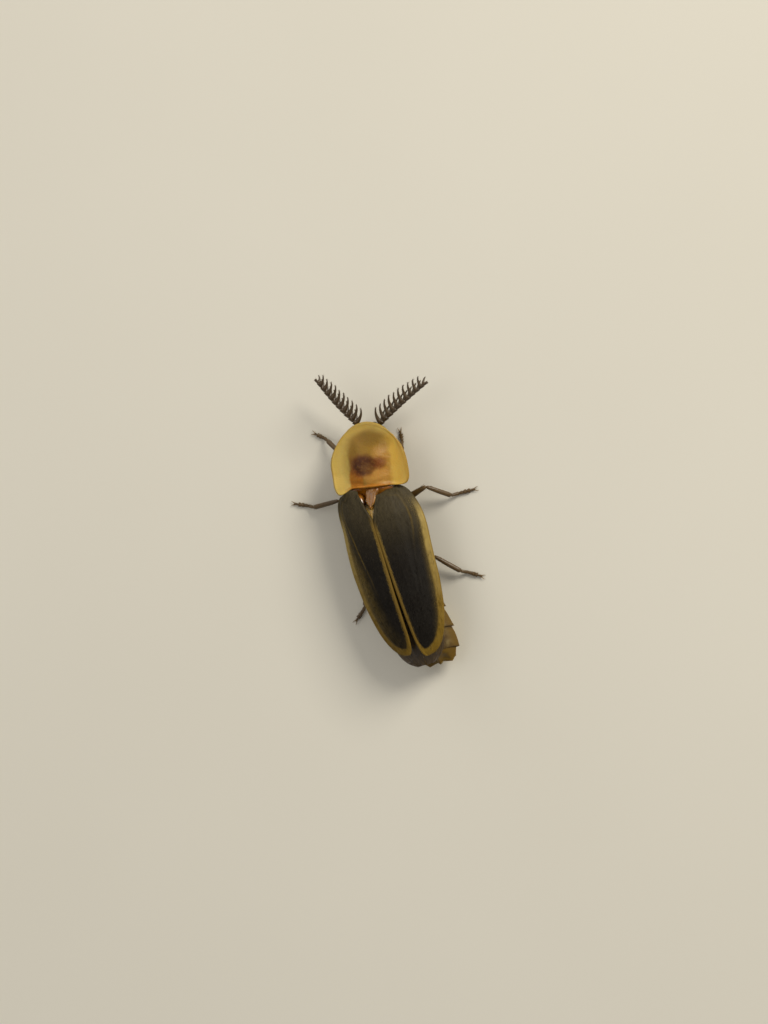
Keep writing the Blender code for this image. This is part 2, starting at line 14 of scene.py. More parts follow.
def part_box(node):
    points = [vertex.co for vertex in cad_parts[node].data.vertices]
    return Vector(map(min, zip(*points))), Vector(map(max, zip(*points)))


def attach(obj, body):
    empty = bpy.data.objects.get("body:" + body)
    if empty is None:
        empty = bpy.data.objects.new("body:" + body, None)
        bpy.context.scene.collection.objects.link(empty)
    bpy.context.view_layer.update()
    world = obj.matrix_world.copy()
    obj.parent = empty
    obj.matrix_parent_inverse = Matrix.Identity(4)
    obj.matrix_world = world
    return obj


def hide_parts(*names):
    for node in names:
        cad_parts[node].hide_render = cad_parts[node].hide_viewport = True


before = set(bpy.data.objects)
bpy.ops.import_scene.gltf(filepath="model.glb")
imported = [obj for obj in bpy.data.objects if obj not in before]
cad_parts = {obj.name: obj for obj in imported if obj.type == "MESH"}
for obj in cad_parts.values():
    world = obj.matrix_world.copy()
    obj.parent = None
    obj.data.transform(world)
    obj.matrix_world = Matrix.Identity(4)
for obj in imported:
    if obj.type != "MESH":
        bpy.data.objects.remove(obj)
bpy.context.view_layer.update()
MM = 0.001
UP = np.array([0.0, 0.0, 1.0])

# The beetle's two sides, and which way each lies along X
SIDES = {"left": 1.0, "right": -1.0}


def corners(node):
    """Lowest and highest corner of a node of the frame, in millimetres."""
    low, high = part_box(node)
    return np.array(low) / MM, np.array(high) / MM


# Wing cases, measured on the frame
LEFT_LOW, LEFT_HIGH = corners("elytron_left")
RIGHT_LOW, RIGHT_HIGH = corners("elytron_right")
MIDDLE = np.array([(LEFT_HIGH[0] + RIGHT_LOW[0]) / 2, RIGHT_LOW[1], 0.0])
CASE_LENGTH = RIGHT_HIGH[1] - RIGHT_LOW[1]
CASE_REACH = (LEFT_HIGH[0] - RIGHT_LOW[0]) / 2
CASE_CROWN = LEFT_HIGH[2]
CASE_START = {"left": LEFT_LOW[1] - RIGHT_LOW[1], "right": 0.0}
CASE_WIDEST = 5.0
CASE_SHOULDER = 2.4
CASE_SHOULDER_POWER = 2.6
CASE_BASE_REACH = 2.1
CASE_TIP = 0.7
CASE_TIP_INSET = 0.24
CASE_TIP_POWER = 0.42
CASE_TIP_ROUNDING = 2.6
CASE_TAPER_POWER = 2.1
CASE_BASE_NOTCH = 0.78
CASE_NOTCH_POWER = 1.3
CASE_BASE_CURVE = 2.2
CASE_TIP_CURVE = 2.2
CASE_TIP_SLOPE = 6.5
CASE_BASE_DROP = 0.62
CASE_TIP_DROP = 0.7
CASE_SIDE_DROP = 1.9
CASE_NARROWING_POWER = 1.6
CASE_ARCH_POWER = 2.5
CASE_THICKNESS = 0.11
CASE_GRID = (64, 240)
SEAM_GAP = 0.012
SEAM_CLOSED_TO = 3.2
SEAM_PARTING = 0.022

# How far the front edge of each wing case reaches ahead, from the seam at 0 to the side at 1
CASE_AHEAD = {
    "left": ((0.0, 0.3), (0.35, 0.5), (0.7, 0.48), (1.0, 0.36)),
    "right": ((0.0, 0.0), (0.3, 0.04), (0.6, 0.17), (1.0, 0.34)),
}

# Share by which each shoulder is wider, its place along the wing case and its length
SHOULDER_SPREAD = {"left": (-0.085, 2.1, 2.0), "right": (0.065, 3.1, 1.7)}

# The side ridge's distance from the outer edge at the base, and how much further in it ends
SIDE_RIDGE = {"left": (0.5, 1.3), "right": (0.75, 0.5)}
SIDE_RIDGE_HEIGHT = 0.05

# Long ridges of a wing case: place across it and height
COSTAE = ((0.3, 0.016), (0.5, 0.016), (0.7, 0.02))

# Hair: rings along a hair and their widths, sides, curl, size of its patch on the bake map, lowest level
HAIR_LEVELS = ((0.0, 1.0), (0.5, 0.75), (1.0, 0.06))
HAIR_SIDES = 3
HAIR_CURL = 0.3
HAIR_PATCH = 0.003
HAIR_FLOOR = 0.01
CASE_HAIRS = 6500
CASE_HAIR_LENGTHS = (0.2, 0.34)
CASE_HAIR_RADII = (0.0045, 0.0075)
FEELER_HAIR = {"density": 26, "lengths": (0.07, 0.14), "radius": 0.005, "lean": 0.7}
LEG_HAIR = {"density": 70, "lengths": (0.09, 0.17), "radius": 0.006, "lean": 0.62}

# Seeds of the random draws
CASE_SEEDS = {"left": 11, "right": 12}
FEELER_SEEDS = {"left": 21, "right": 22}
FIRST_LEG_SEED = 31

# Hind wings
WING_START = 1.5
WING_END = corners("hindwing_left")[1][1] - MIDDLE[1] - 0.15
WING_REACH = ((1.5, 1.5), (4.0, 1.95), (9.0, 2.0), (12.3, 2.15), (13.2, 1.85), (13.85, 1.3), (14.2, 0.75))
WING_DEPTH = 0.72
WING_TIP_DEPTH = 0.45
WING_THICKNESS = 0.035
WING_SEAM_GAP = 0.03
WING_GRID = (48, 150)
WING_VEINS = (0.25, 0.48, 0.7, 0.9)

# Fore body
NECK = np.array([-0.42, -0.55, 0.0])
NECK_TURN = math.radians(-11.0)
SHIELD_REACH = 3.15
SHIELD_CENTRE = -1.9
SHIELD_FRONT = 3.45
SHIELD_BACK = 1.7
SHIELD_POWERS = {"front": 1.88, "back": 6.0}
SHIELD_LEVEL = 3.3
SHIELD_SLOPE = 0.03
SHIELD_FALL = 0.12
SHIELD_CORNERS = {"left": 0.65, "right": 0.2}
SHIELD_LEAN = 0.11
SHIELD_THICKNESS = 0.14
SHIELD_GRID = (90, 90)
LOBE_LIFT = 0.2
DISC_REACH = 2.45
DISC_RISE = 0.9
DISC_FRONT = -5.05
DISC_TOP = -2.4

# Trunk; a reach is half the width, by the place along the body
TRUNK_AROUND = 88
TRUNK_STEP = 0.07
TRUNK_FLOOR = 1.3
TRUNK_TOP = 2.85
UNDERSIDE_POWER = 2.2
PROTHORAX_AROUND = 80
PROTHORAX_EDGE_LEVEL = 2.3
PROTHORAX_REACH = (
    (-4.0, 0.4),
    (-3.7, 0.85),
    (-3.1, 1.45),
    (-2.2, 1.75),
    (-0.8, 1.88),
    (-0.1, 2.0),
    (0.4, 1.8),
    (0.9, 1.3),
)
THORAX_EDGE_LEVEL = 1.97
THORAX_REACH = ((-0.4, 1.6), (0.0, 1.95), (0.9, 2.3), (1.7, 2.45), (3.3, 2.45), (4.25, 2.2))
ABDOMEN_START = 3.2
SEGMENT_ENDS = (4.9, 6.6, 8.3, 10.0, 11.7, 13.4, 14.55)
SEGMENT_STEP = 0.02
TRUNK_START = THORAX_REACH[0][0]
DARK_END, LANTERN_END = SEGMENT_ENDS[3], SEGMENT_ENDS[5]
LANTERN_START = DARK_END + SEGMENT_STEP
ABDOMEN_REACH = ((4.0, 2.2), (6.5, 2.4), (9.0, 2.25), (11.0, 1.98), (12.5, 1.86), (13.6, 1.6), (14.6, 1.15))
ABDOMEN_BEND = 0.85
LOBE_FLARE = 0.22
LOBE_POINT = 0.2
ABDOMEN_EDGE_LEVEL = 1.75
TAIL_DROOP = 0.5
TAIL_START = 13.3
TAIL_LENGTH = 1.3

# Collar; the humps under the bases of the wing cases have a centre and half sizes
WAIST_THICKNESS = 0.25
SCUTELLUM_THICKNESS = 0.3
SKIN_THICKNESS = 0.12
WALL_FOOT = 2.6
CASE_HUMPS = (((1.25, 0.35, 3.25), (0.95, 1.0, 0.7)), ((-1.3, 0.85, 3.2), (0.85, 0.9, 0.6)))

# Head, in the neck frame
HEAD_CENTRE = np.array([0.0, -4.42, 2.0])
HEAD_HALF = np.array([0.72, 0.72, 0.62])
EYE_RADIUS = 0.58
EYE_PLACE = np.array([0.8, 0.0, 0.05])
LIP_CENTRE = np.array([0.0, -5.08, 1.7])
LIP_HALF = np.array([0.3, 0.16, 0.16])
JAW = ((0.28, -4.92, 1.6), (0.36, -5.1, 1.4), (0.2, -5.2, 1.24), (-0.08, -5.22, 1.18))
JAW_RADIUS = 0.13
LONG_PALP = (
    (0.34, -4.82, 1.52),
    (0.5, -4.98, 1.24),
    (0.58, -5.08, 1.02),
    (0.58, -5.14, 0.8),
    (0.5, -5.18, 0.58),
)
LONG_PALP_RADIUS = 0.12
SHORT_PALP = ((0.16, -4.88, 1.42), (0.22, -4.98, 1.2), (0.24, -5.04, 1.05), (0.22, -5.08, 0.9))
SHORT_PALP_RADIUS = 0.08

# Feelers, in the neck frame
FEELER_SOCKET = np.array([0.3, -4.98, 2.2])
FEELER_ENDS = {
    "left": (np.array([0.94, -5.25, 2.25]), np.array([3.7, -9.3, 3.2])),
    "right": (np.array([-0.93, -5.07, 2.25]), np.array([-5.66, -8.02, 3.2])),
}
SOCKET_RADIUS = 0.19
SCAPE_RADIUS = 0.16
PEDICEL_RADIUS = 0.14
FEELER_JOINTS = 11
LAST_JOINT = 0.94
JOINT_OVERLAP = 0.02
FEELER_BOW = {"left": 0.14, "right": -0.06}
FEELER_RADIUS = 0.19
BRANCH_AHEAD = 0.67
BRANCH_RADIUS = 0.1

# Rows of comb branches: how far they reach inwards and up, and their place on the joint
BRANCH_ROWS = ((1.2, 0.25, 0.5), (0.65, -0.35, 1.0))

# Legs: hip, knee, ankle and tip of the foot, in the body frame
LEGS = {
    "fore_left": ((-0.15, -3.15, 0.85), (1.75, -4.0, 1.55), (2.85, -5.4, 0.66), (3.9, -6.3, 0.2)),
    "fore_right": ((-1.45, -2.85, 0.85), (-2.75, -1.55, 1.55), (-3.0, -3.15, 0.62), (-3.12, -4.35, 0.2)),
    "mid_left": ((0.75, 1.2, 0.78), (3.2, -0.5, 1.45), (5.7, -0.6, 0.6), (7.4, -1.38, 0.2)),
    "mid_right": ((-0.95, 1.3, 0.78), (-4.25, 0.55, 1.75), (-5.7, 1.85, 0.6), (-7.6, 1.95, 0.2)),
    "hind_left": ((0.7, 3.3, 0.78), (2.9, 5.9, 1.25), (4.1, 8.3, 0.6), (5.4, 9.25, 0.2)),
    "hind_right": ((-0.8, 3.4, 0.78), (-2.95, 6.05, 1.25), (-4.55, 7.9, 0.6), (-5.95, 8.8, 0.2)),
}
HIND_HIP_HALF = np.array([0.85, 0.34, 0.4])
HIP_RADII = (0.5, 0.47, 0.4, 0.27)
THIGH_RING_RADII = (0.22, 0.24, 0.19)
THIGH_RADII = (0.19, 0.26, 0.28, 0.26, 0.21, 0.16)
SHIN_RADII = (0.12, 0.17, 0.19, 0.2, 0.2, 0.2)
LEG_BOW = np.array([0.0, 0.0, 0.08])
SPUR_RADIUS = 0.03
CLAW_RADIUS = 0.045

# Feet: ends of the five joints as shares of the foot, its level along it, and the radii of each joint
FOOT_SHARES = (0.0, 0.28, 0.46, 0.62, 0.78, 1.0)
FOOT_LEVELS = (0.17, 0.12)
FOOT_SLENDER = (0.09, 0.12, 0.14, 0.15)
FOOT_LOBED = (0.09, 0.13, 0.18, 0.19)
FOOT_LAST = (0.06, 0.08, 0.09, 0.1)
FOOT_RADII = (FOOT_SLENDER, FOOT_SLENDER, FOOT_LOBED, FOOT_LOBED, FOOT_LAST)

# Along, aside and down from the foot's tip, for the points of a claw
CLAW_HOOK = ((-0.04, 0.05, 0.06), (0.14, 0.13, 0.05), (0.27, 0.16, 0.1), (0.31, 0.14, 0.17))

# Camera: the photograph's size at the beetle, its tilt to the beetle's right and its turn round the view
FRAME_WIDTH, FRAME_HEIGHT = 768, 1024
PIXEL = 0.08
CAMERA_TILT = math.radians(18.0)
CAMERA_ROLL = math.radians(17.7)
CAMERA_DISTANCE = 300.0
AIM = np.array([-0.27, 0.0, 4.1])
AIM_PIXEL = (370.0, 497.0)
FLOOR_SIZE = 3000.0


def in_body(points):
    """Points of the body frame, in millimetres, as points of the scene, in metres."""
    return (np.asarray(points, float) + MIDDLE) * MM


def neck_to_body(points):
    """Points of the neck frame as points of the body frame."""
    points = np.asarray(points, float)
    cos, sin = math.cos(NECK_TURN), math.sin(NECK_TURN)
    turned = points @ np.array([[cos, sin, 0.0], [-sin, cos, 0.0], [0.0, 0.0, 1.0]])
    return turned + NECK


def in_neck(points):
    return in_body(neck_to_body(points))


def smooth_step(low, high, value):
    t = np.clip((value - low) / (high - low), 0.0, 1.0)
    return t * t * (3.0 - 2.0 * t)


def bell(value, centre, width):
    return np.exp(-(((value - centre) / width) ** 2))


def through(pairs, t):
    """Values at t of a smooth curve through (t, value) pairs, which are in order of t."""
    knots = np.array([pair[0] for pair in pairs])
    values = np.array([pair[1] for pair in pairs])
    before = np.concatenate([[0], np.arange(len(pairs) - 1)])
    after = np.concatenate([np.arange(1, len(pairs)), [len(pairs) - 1]])
    slopes = (values[after] - values[before]) / (knots[after] - knots[before])
    t = np.clip(t, knots[0], knots[-1])
    i = np.clip(np.searchsorted(knots, t, side="right") - 1, 0, len(pairs) - 2)
    span = knots[i + 1] - knots[i]
    s = (t - knots[i]) / span
    start = (s**3 - 2.0 * s * s + s) * span * slopes[i]
    end = (s**3 - s * s) * span * slopes[i + 1]
    return values[i] + (values[i + 1] - values[i]) * s * s * (3.0 - 2.0 * s) + start + end


def unit(vectors):
    vectors = np.asarray(vectors, float)
    return vectors / np.maximum(np.linalg.norm(vectors, axis=-1, keepdims=True), 1e-12)


class Signal:
    """A socket of a material. Arithmetic on it adds Math nodes."""

    def __init__(self, finish, socket):
        self.finish = finish
        self.socket = socket

    def math(self, operation, *others):
        return self.finish.node("ShaderNodeMath", {"operation": operation}, [self, *others])

    def __add__(self, other):
        return self.math("ADD", other)

    def __sub__(self, other):
        return self.math("SUBTRACT", other)

    def __rsub__(self, other):
        return self.finish.node("ShaderNodeMath", {"operation": "SUBTRACT"}, [other, self])

    def __mul__(self, other):
        return self.math("MULTIPLY", other)

    def __truediv__(self, other):
        return self.math("DIVIDE", other)

    def __pow__(self, other):
        return self.math("POWER", other)

    def __neg__(self):
        return self * -1.0

    __radd__ = __add__
    __rmul__ = __mul__

    def size(self):
        return self.math("ABSOLUTE")

    def bell(self, centre, width):
        """1 at the centre, falling smoothly to 0 on both sides."""
        offset = (self - centre) / width
        return (-(offset * offset)).math("EXPONENT")

    def step(self, low, high):
        """0 below low, 1 above high and smooth between."""
        settings = {"interpolation_type": "SMOOTHSTEP", "clamp": True}
        sockets = {"Value": self, "From Min": low, "From Max": high}
        return self.finish.node("ShaderNodeMapRange", settings, sockets)


# Sockets of a Mix node that mixes colours
MIX_FACTOR, MIX_FIRST, MIX_SECOND, MIX_RESULT = 0, 6, 7, 2


class Finish:
    """A material round one Principled shader, whose patterns are written as expressions."""

    def __init__(self, name, **constants):
        self.material = bpy.data.materials.new(name)
        self.material.use_nodes = True
        self.nodes = self.material.node_tree.nodes
        self.links = self.material.node_tree.links
        self.shader = self.nodes["Principled BSDF"]
        for key, value in constants.items():
            self.shader.inputs[key.replace("_", " ")].default_value = value
        self.place = self.field("place")
        self.x, self.y = (self.node("ShaderNodeSeparateXYZ", {}, [self.place], axis) for axis in (0, 1))

    def node(self, kind, settings, inputs, output=0):
        """Adds a node. Its settings come first, then the values or links of its sockets."""
        node = self.nodes.new(kind)
        for key, value in settings.items():
            setattr(node, key, value)
        pairs = inputs.items() if isinstance(inputs, dict) else enumerate(inputs)
        for key, value in pairs:
            if isinstance(value, Signal):
                self.links.new(value.socket, node.inputs[key])
            else:
                node.inputs[key].default_value = value
        return Signal(self, node.outputs[output])

    def field(self, name):
        """A value that the mesh carries at each of its points."""
        vector = name == "place"
        settings = {"attribute_type": "GEOMETRY", "attribute_name": name}
        return self.node("ShaderNodeAttribute", settings, {}, "Vector" if vector else "Fac")

    def noise(self, scale, stretch=(1.0, 1.0, 1.0), detail=3.0):
        """Cloudy noise around 0.5, in grains of about 1 / scale millimetres."""
        place = self.node("ShaderNodeVectorMath", {"operation": "MULTIPLY"}, [self.place, stretch])
        return self.node("ShaderNodeTexNoise", {}, {"Vector": place, "Scale": scale, "Detail": detail})

    def cells(self, scale):
        """Distance to the nearest of scattered points, about 1 / scale millimetres apart."""
        return self.node("ShaderNodeTexVoronoi", {}, {"Vector": self.place, "Scale": scale})

    def mix(self, first, second, amount):
        """One colour turning into another."""
        first, second = (value if isinstance(value, Signal) else (*value, 1.0) for value in (first, second))
        settings = {"data_type": "RGBA", "clamp_factor": True}
        sockets = {MIX_FACTOR: amount, MIX_FIRST: first, MIX_SECOND: second}
        return self.node("ShaderNodeMix", settings, sockets, MIX_RESULT)

    def bump(self, height, strength, distance):
        """Relief on the surface; the distance is in millimetres."""
        sockets = {"Height": height, "Strength": strength, "Distance": distance * MM}
        self.feed("Normal", self.node("ShaderNodeBump", {}, sockets))

    def feed(self, socket, signal):
        self.links.new(signal.socket, self.shader.inputs[socket])


def translucent(weight, depth):
    """Constants of light that scatters under the surface, to a depth in millimetres."""
    return {
        "Subsurface_Weight": weight,
        "Subsurface_Radius": (1.0, 0.55, 0.22),
        "Subsurface_Scale": depth * MM,
    }


# Colours
SHIELD_YELLOW = (0.52, 0.365, 0.085)
SHIELD_ORANGE = (0.5, 0.31, 0.05)
DISC_TAN = (0.33, 0.165, 0.02)
HOOD_OLIVE = (0.235, 0.128, 0.012)
HOOD_SHADE = (0.16, 0.088, 0.009)
PATCH_BROWN = (0.07, 0.017, 0.0006)
PATCH_RED = (0.13, 0.02, 0.001)
ORANGE = (0.41, 0.145, 0.006)
ROSE_TAN = (0.45, 0.225, 0.045)
AMBER = (0.36, 0.125, 0.006)
AMBER_DARK = (0.085, 0.027, 0.003)
SCUTELLUM_ROSE = (0.2, 0.088, 0.018)
SEAM_TAN = (0.34, 0.21, 0.045)
BAND_BASE = (0.36, 0.26, 0.075)
BAND_TIP = (0.17, 0.1, 0.009)
BAND_SEAM = (0.14, 0.084, 0.012)
CASE_BLACK = (0.0055, 0.0035, 0.0015)
CASE_GREY = (0.062, 0.047, 0.02)
CASE_OLIVE = (0.13, 0.084, 0.014)
MEMBRANE_BROWN = (0.05, 0.028, 0.008)
MEMBRANE_PALE = (0.12, 0.072, 0.02)
HORN_DARK = (0.04, 0.023, 0.008)
LEG_BROWN = (0.08, 0.043, 0.01)
HORN_BROWN = (0.125, 0.07, 0.018)
HORN_OCHRE = (0.24, 0.14, 0.03)
LOBE_OCHRE = (0.125, 0.068, 0.004)
LOBE_BROWN = (0.07, 0.038, 0.005)
LANTERN_CREAM = (0.6, 0.52, 0.3)
LANTERN_SHADE = (0.4, 0.31, 0.13)
EYE_BLACK = (0.008, 0.007, 0.006)
EYE_BROWN = (0.03, 0.017, 0.008)
CASE_DOWN_DARK = (0.006, 0.004, 0.002)
CASE_DOWN_PALE = (0.15, 0.115, 0.06)
LIMB_DOWN_DARK = (0.03, 0.02, 0.01)
LIMB_DOWN_PALE = (0.2, 0.14, 0.07)
FLOOR_SHADE = (0.70, 0.67, 0.59)
FLOOR_PALE = (0.76, 0.73, 0.65)
KEY_LIGHT = (1.0, 0.95, 0.84)
SOFT_LIGHT = (1.0, 0.97, 0.92)
ROOM_LIGHT = (1.0, 0.97, 0.91)

# What shows through the shield, in the neck frame: colour, centre, half sizes, softness and strength
SHIELD_SPOTS = (
    (HOOD_OLIVE, (-0.1, -3.75), (1.7, 1.3), 0.6, 0.92),
    (HOOD_SHADE, (-0.5, -4.25), (1.0, 0.75), 0.8, 0.75),
    (HOOD_SHADE, (1.1, -3.0), (0.6, 1.0), 0.8, 0.25),
    (ROSE_TAN, (-0.75, -1.0), (1.05, 0.78), 0.6, 0.8),
    (ROSE_TAN, (-1.1, -2.7), (0.6, 0.7), 0.9, 0.45),
    (ORANGE, (1.1, -0.85), (0.66, 1.0), 0.4, 0.95),
    (ORANGE, (0.1, -0.2), (1.75, 0.24), 0.7, 0.85),
    (PATCH_RED, (0.5, -1.95), (1.1, 0.85), 0.9, 0.85),
    (PATCH_RED, (-0.95, -2.1), (0.55, 0.48), 0.9, 0.8),
    (PATCH_BROWN, (0.25, -2.02), (0.98, 0.8), 0.6, 0.97),
    (ROSE_TAN, (-0.05, -1.75), (0.5, 0.4), 0.95, 0.14),
)


def wing_case_finish(side):
    """Dark horn with ochre bands along the seam, the side and the tip, which darken towards the tail as
    painted light falloff, a grey base that is partly painted sheen, and an olive side zone with a painted
    highlight along its ridge.
    """
    finish = Finish(f"wing_case_{side}", Roughness=0.5, Specular_IOR_Level=0.18)
    edge, seam, along, ridge = (finish.field(name) for name in ("edge", "seam", "along", "ridge"))
    streaks = finish.noise(6.0, (2.4, 0.2, 1.0), 4.0)
    cloud = finish.noise(0.9)
    wander = (finish.noise(1.3) - 0.5) * 0.1
    # Greyer towards the base and in streaks: grey lying hair, partly painted sheen
    greyer = 1.0 - along.step(0.02, 0.42)
    grey = greyer * 0.72 + (streaks - 0.5) * (0.12 + greyer * 0.9)
    dark = finish.mix(CASE_BLACK, CASE_GREY, grey)
    left = side == "left"
    if left:
        glow = (1.0 - (ridge + wander * 2.0).step(-1.1, 0.1)) * along.bell(0.45, 0.36)
    else:
        glow = (1.0 - (edge + wander * 2.0).step(0.45, 0.9)) * along.bell(0.48, 0.34) * 0.3
    dark = finish.mix(dark, CASE_OLIVE, glow)
    # A thin olive line along the side ridge: painted highlight of the ridge
    line = ridge.bell(0.0, 0.06) * (along.bell(0.28, 0.22) if left else along.bell(0.17, 0.12))
    dark = finish.mix(dark, CASE_OLIVE, line * (1.0 if left else 0.6))
    width = 0.4 + 0.2 * along.step(0.84, 1.0) - 0.12 * (1.0 - along.step(0.05, 0.3))
    band = (1.0 - (edge + wander - width).step(-0.07, 0.12)) * along.step(0.06, 0.2)
    seam_width = 0.2 + 0.22 * along.step(0.88, 1.0)
    seam_band = (1.0 - (seam + wander * 0.5 - seam_width).step(-0.05, 0.07)) * along.step(0.12, 0.22)
    # The bands darken towards the tail: painted light falloff, with cloudy and streaky tone at random on
    # top
    falloff_and_tone = along.step(0.1, 0.9) + (cloud - 0.5) * 0.5 + (streaks - 0.5) * 0.3
    ochre = finish.mix(BAND_BASE, BAND_TIP, falloff_and_tone)
    ochre = finish.mix(ochre, BAND_TIP, (1.0 - edge.step(0.0, 0.08)) * 0.6)
    seam_tone = finish.mix(BAND_SEAM, BAND_TIP, along.step(0.8, 1.0))
    tint = finish.mix(dark, seam_tone, seam_band)
    finish.feed("Base Color", finish.mix(tint, ochre, band))
    finish.feed("Roughness", 0.48 + 0.2 * streaks - 0.14 * band)
    pits = finish.cells(9.0).step(0.1, 0.55)
    grain = finish.noise(30.0, (1.6, 0.3, 1.0), 2.0)
    finish.bump(pits * 0.5 + grain * 0.4, 0.3, 0.012)
    return finish.material


def shield_finish():
    """Clear yellow horn, through which the head, the muscles and the gut show on the disc."""
    gloss = {"Roughness": 0.4, "Specular_IOR_Level": 0.22, "Coat_Weight": 0.08, "Coat_Roughness": 0.25}
    finish = Finish("shield", **gloss, **translucent(0.3, 0.3))
    ripple = finish.noise(4.5) - 0.5
    x = finish.x + (finish.noise(1.3) - 0.5) * 0.5 + ripple * 0.14
    y = finish.y + (finish.noise(1.7) - 0.5) * 0.4 + ripple * 0.12

    def spot(centre, half, soft, power=2.0):
        """1 inside a rounded spot that fades over its rim."""
        across = ((x - centre[0]) / half[0]).size() ** power
        along = ((y - centre[1]) / half[1]).size() ** power
        return 1.0 - (across + along).step(1.0 - soft, 1.0 + soft)

    sides = finish.x.step(-1.2, 1.2)
    tint = finish.mix(SHIELD_ORANGE, SHIELD_YELLOW, sides + (finish.noise(0.8) - 0.5) * 0.6)
    disc = spot((-0.1, -1.6), (1.74, 2.75), 0.28, 2.6)
    tint = finish.mix(tint, DISC_TAN, disc * 0.94)
    for colour, centre, half, soft, strength in SHIELD_SPOTS:
        tint = finish.mix(tint, colour, spot(centre, half, soft) * strength)
    flecks = ripple.step(0.02, 0.16) * spot((-0.1, -1.4), (1.6, 1.5), 0.5)
    tint = finish.mix(tint, ROSE_TAN, flecks * 0.12)
    rim = finish.field("edge")
    tint = finish.mix(tint, SHIELD_YELLOW, (1.0 - rim.step(0.0, 0.95)) * (1.0 - finish.y.step(-4.9, -3.7)))
    tint = finish.mix(tint, LOBE_OCHRE, (1.0 - rim.step(0.02, 0.12)) * 0.4)
    finish.feed("Base Color", tint)
    finish.feed("Roughness", 0.34 + 0.16 * finish.noise(3.0))
    pits = finish.cells(7.0).step(0.05, 0.5)
    finish.bump(pits * 0.4 + ripple * disc * 2.5 + finish.noise(2.2) * 0.8, 0.5, 0.03)
    return finish.material


def amber_finish():
    """Shiny amber horn of the collar, rosy on the scutellum with a pale border that is a painted highlight,
    and tan between the wing cases. Painted shade darkens its sides and the parts behind that lie under the
    wing cases.
    """
    finish = Finish("amber", Roughness=0.22, Coat_Weight=0.5, Coat_Roughness=0.1, **translucent(0.3, 0.25))
    cloud = finish.noise(2.4)
    plate, strip = finish.field("plate"), finish.field("strip")
    across = (finish.x + 0.35).size()
    # Painted shade: darker towards the sides, where the collar runs under the shield and the wing-case
    # shoulders, with cloudy tone at random
    tint = finish.mix(AMBER, AMBER_DARK, across.step(1.1, 1.9) * 0.9 + (cloud - 0.5) * 0.9)
    # Painted shade: dark behind, where the collar lies under the wing-case bases, except on the scutellum
    tint = finish.mix(tint, AMBER_DARK, finish.y.step(-0.1, 0.35) * (1.0 - plate.step(0.1, 0.5)))
    tint = finish.mix(tint, SCUTELLUM_ROSE, plate.step(0.1, 0.6) * (0.75 + 0.4 * cloud))
    # Paler raised border of the scutellum: painted highlight on its rim
    tint = finish.mix(tint, ROSE_TAN, (plate - 1.0).step(-0.12, 0.0) * 0.55)
    finish.feed("Base Color", finish.mix(tint, SEAM_TAN, strip))
    finish.feed("Roughness", 0.18 + 0.25 * finish.noise(5.0))
    finish.bump(finish.noise(4.0) + finish.noise(11.0) * 0.4, 0.6, 0.06)
    return finish.material


def membrane_finish():
    """Smoky, brown, folded wing skin with darker veins."""
    finish = Finish("hind_wing", Roughness=0.3, Coat_Weight=0.3, Coat_Roughness=0.2, Alpha=0.93)
    vein = finish.field("vein")
    streaks = finish.noise(3.0, (2.0, 0.35, 1.0))
    tint = finish.mix(MEMBRANE_BROWN, MEMBRANE_PALE, (streaks - 0.42) * 1.6)
    finish.feed("Base Color", finish.mix(tint, HORN_DARK, vein * 0.8))
    finish.feed("Roughness", 0.25 + 0.2 * streaks)
    finish.bump(finish.noise(14.0, (1.0, 0.5, 1.0)) + finish.noise(3.0, (3.0, 0.2, 1.0)), 0.6, 0.03)
    return finish.material


def trunk_finish(name, above, below, shade, edge_tint):
    """Horn of the trunk: its back, its underside, clouds of shade, clearer side lobes and darker joints."""
    finish = Finish(name, Roughness=0.4, Specular_IOR_Level=0.3, **translucent(0.12, 0.2))
    side, phase, under, joint = (finish.field(field) for field in ("side", "phase", "under", "joint"))
    cloud = finish.noise(1.8)
    tint = finish.mix(above, below, under.step(0.05, 0.5))
    tint = finish.mix(tint, shade, (cloud - 0.42) * 1.2)
    tint = finish.mix(tint, edge_tint, side.step(0.6, 0.92) * (1.0 - under * 0.6) * 0.95)
    tint = finish.mix(tint, shade, joint * under * 0.85)
    front = phase.bell(0.0, 0.12) * side.step(0.5, 0.9) * 0.7
    tint = finish.mix(tint, LOBE_BROWN, (joint * 0.9 + front) * (1.0 - under.step(0.0, 0.3)))
    finish.feed("Base Color", tint)
    finish.feed("Roughness", 0.32 + 0.22 * finish.noise(6.0))
    grain = finish.noise(26.0, (1.0, 0.4, 1.0), 2.0)
    finish.bump(finish.cells(11.0).step(0.05, 0.5) * 0.5 + grain * 0.5, 0.45, 0.016)
    return finish.material


def horn_finish(name, main=HORN_DARK, lighter=HORN_BROWN, amount=0.6, roughness=0.38):
    """Dark brown horn of the head, legs and feelers, paler where it is thin."""
    finish = Finish(name, Roughness=roughness, Coat_Weight=0.12, Coat_Roughness=0.25)
    thin = finish.field("thin")
    cloud = finish.noise(2.6)
    finish.feed("Base Color", finish.mix(main, lighter, thin * 0.75 + (cloud - 0.45) * amount))
    finish.feed("Roughness", roughness - 0.08 + 0.2 * finish.noise(8.0))
    pits = finish.cells(16.0).step(0.05, 0.5)
    finish.bump(pits * 0.6 + finish.noise(40.0) * 0.4, 0.5, 0.012)
    return finish.material


def eye_finish():
    """Black eye of many small facets."""
    finish = Finish("eye", Roughness=0.16, Coat_Weight=0.5, Coat_Roughness=0.06)
    facets = finish.cells(34.0)
    finish.feed("Base Color", finish.mix(EYE_BLACK, EYE_BROWN, facets.step(0.2, 0.6)))
    finish.feed("Roughness", 0.1 + 0.25 * facets)
    finish.bump(1.0 - facets * facets, 0.6, 0.006)
    return finish.material


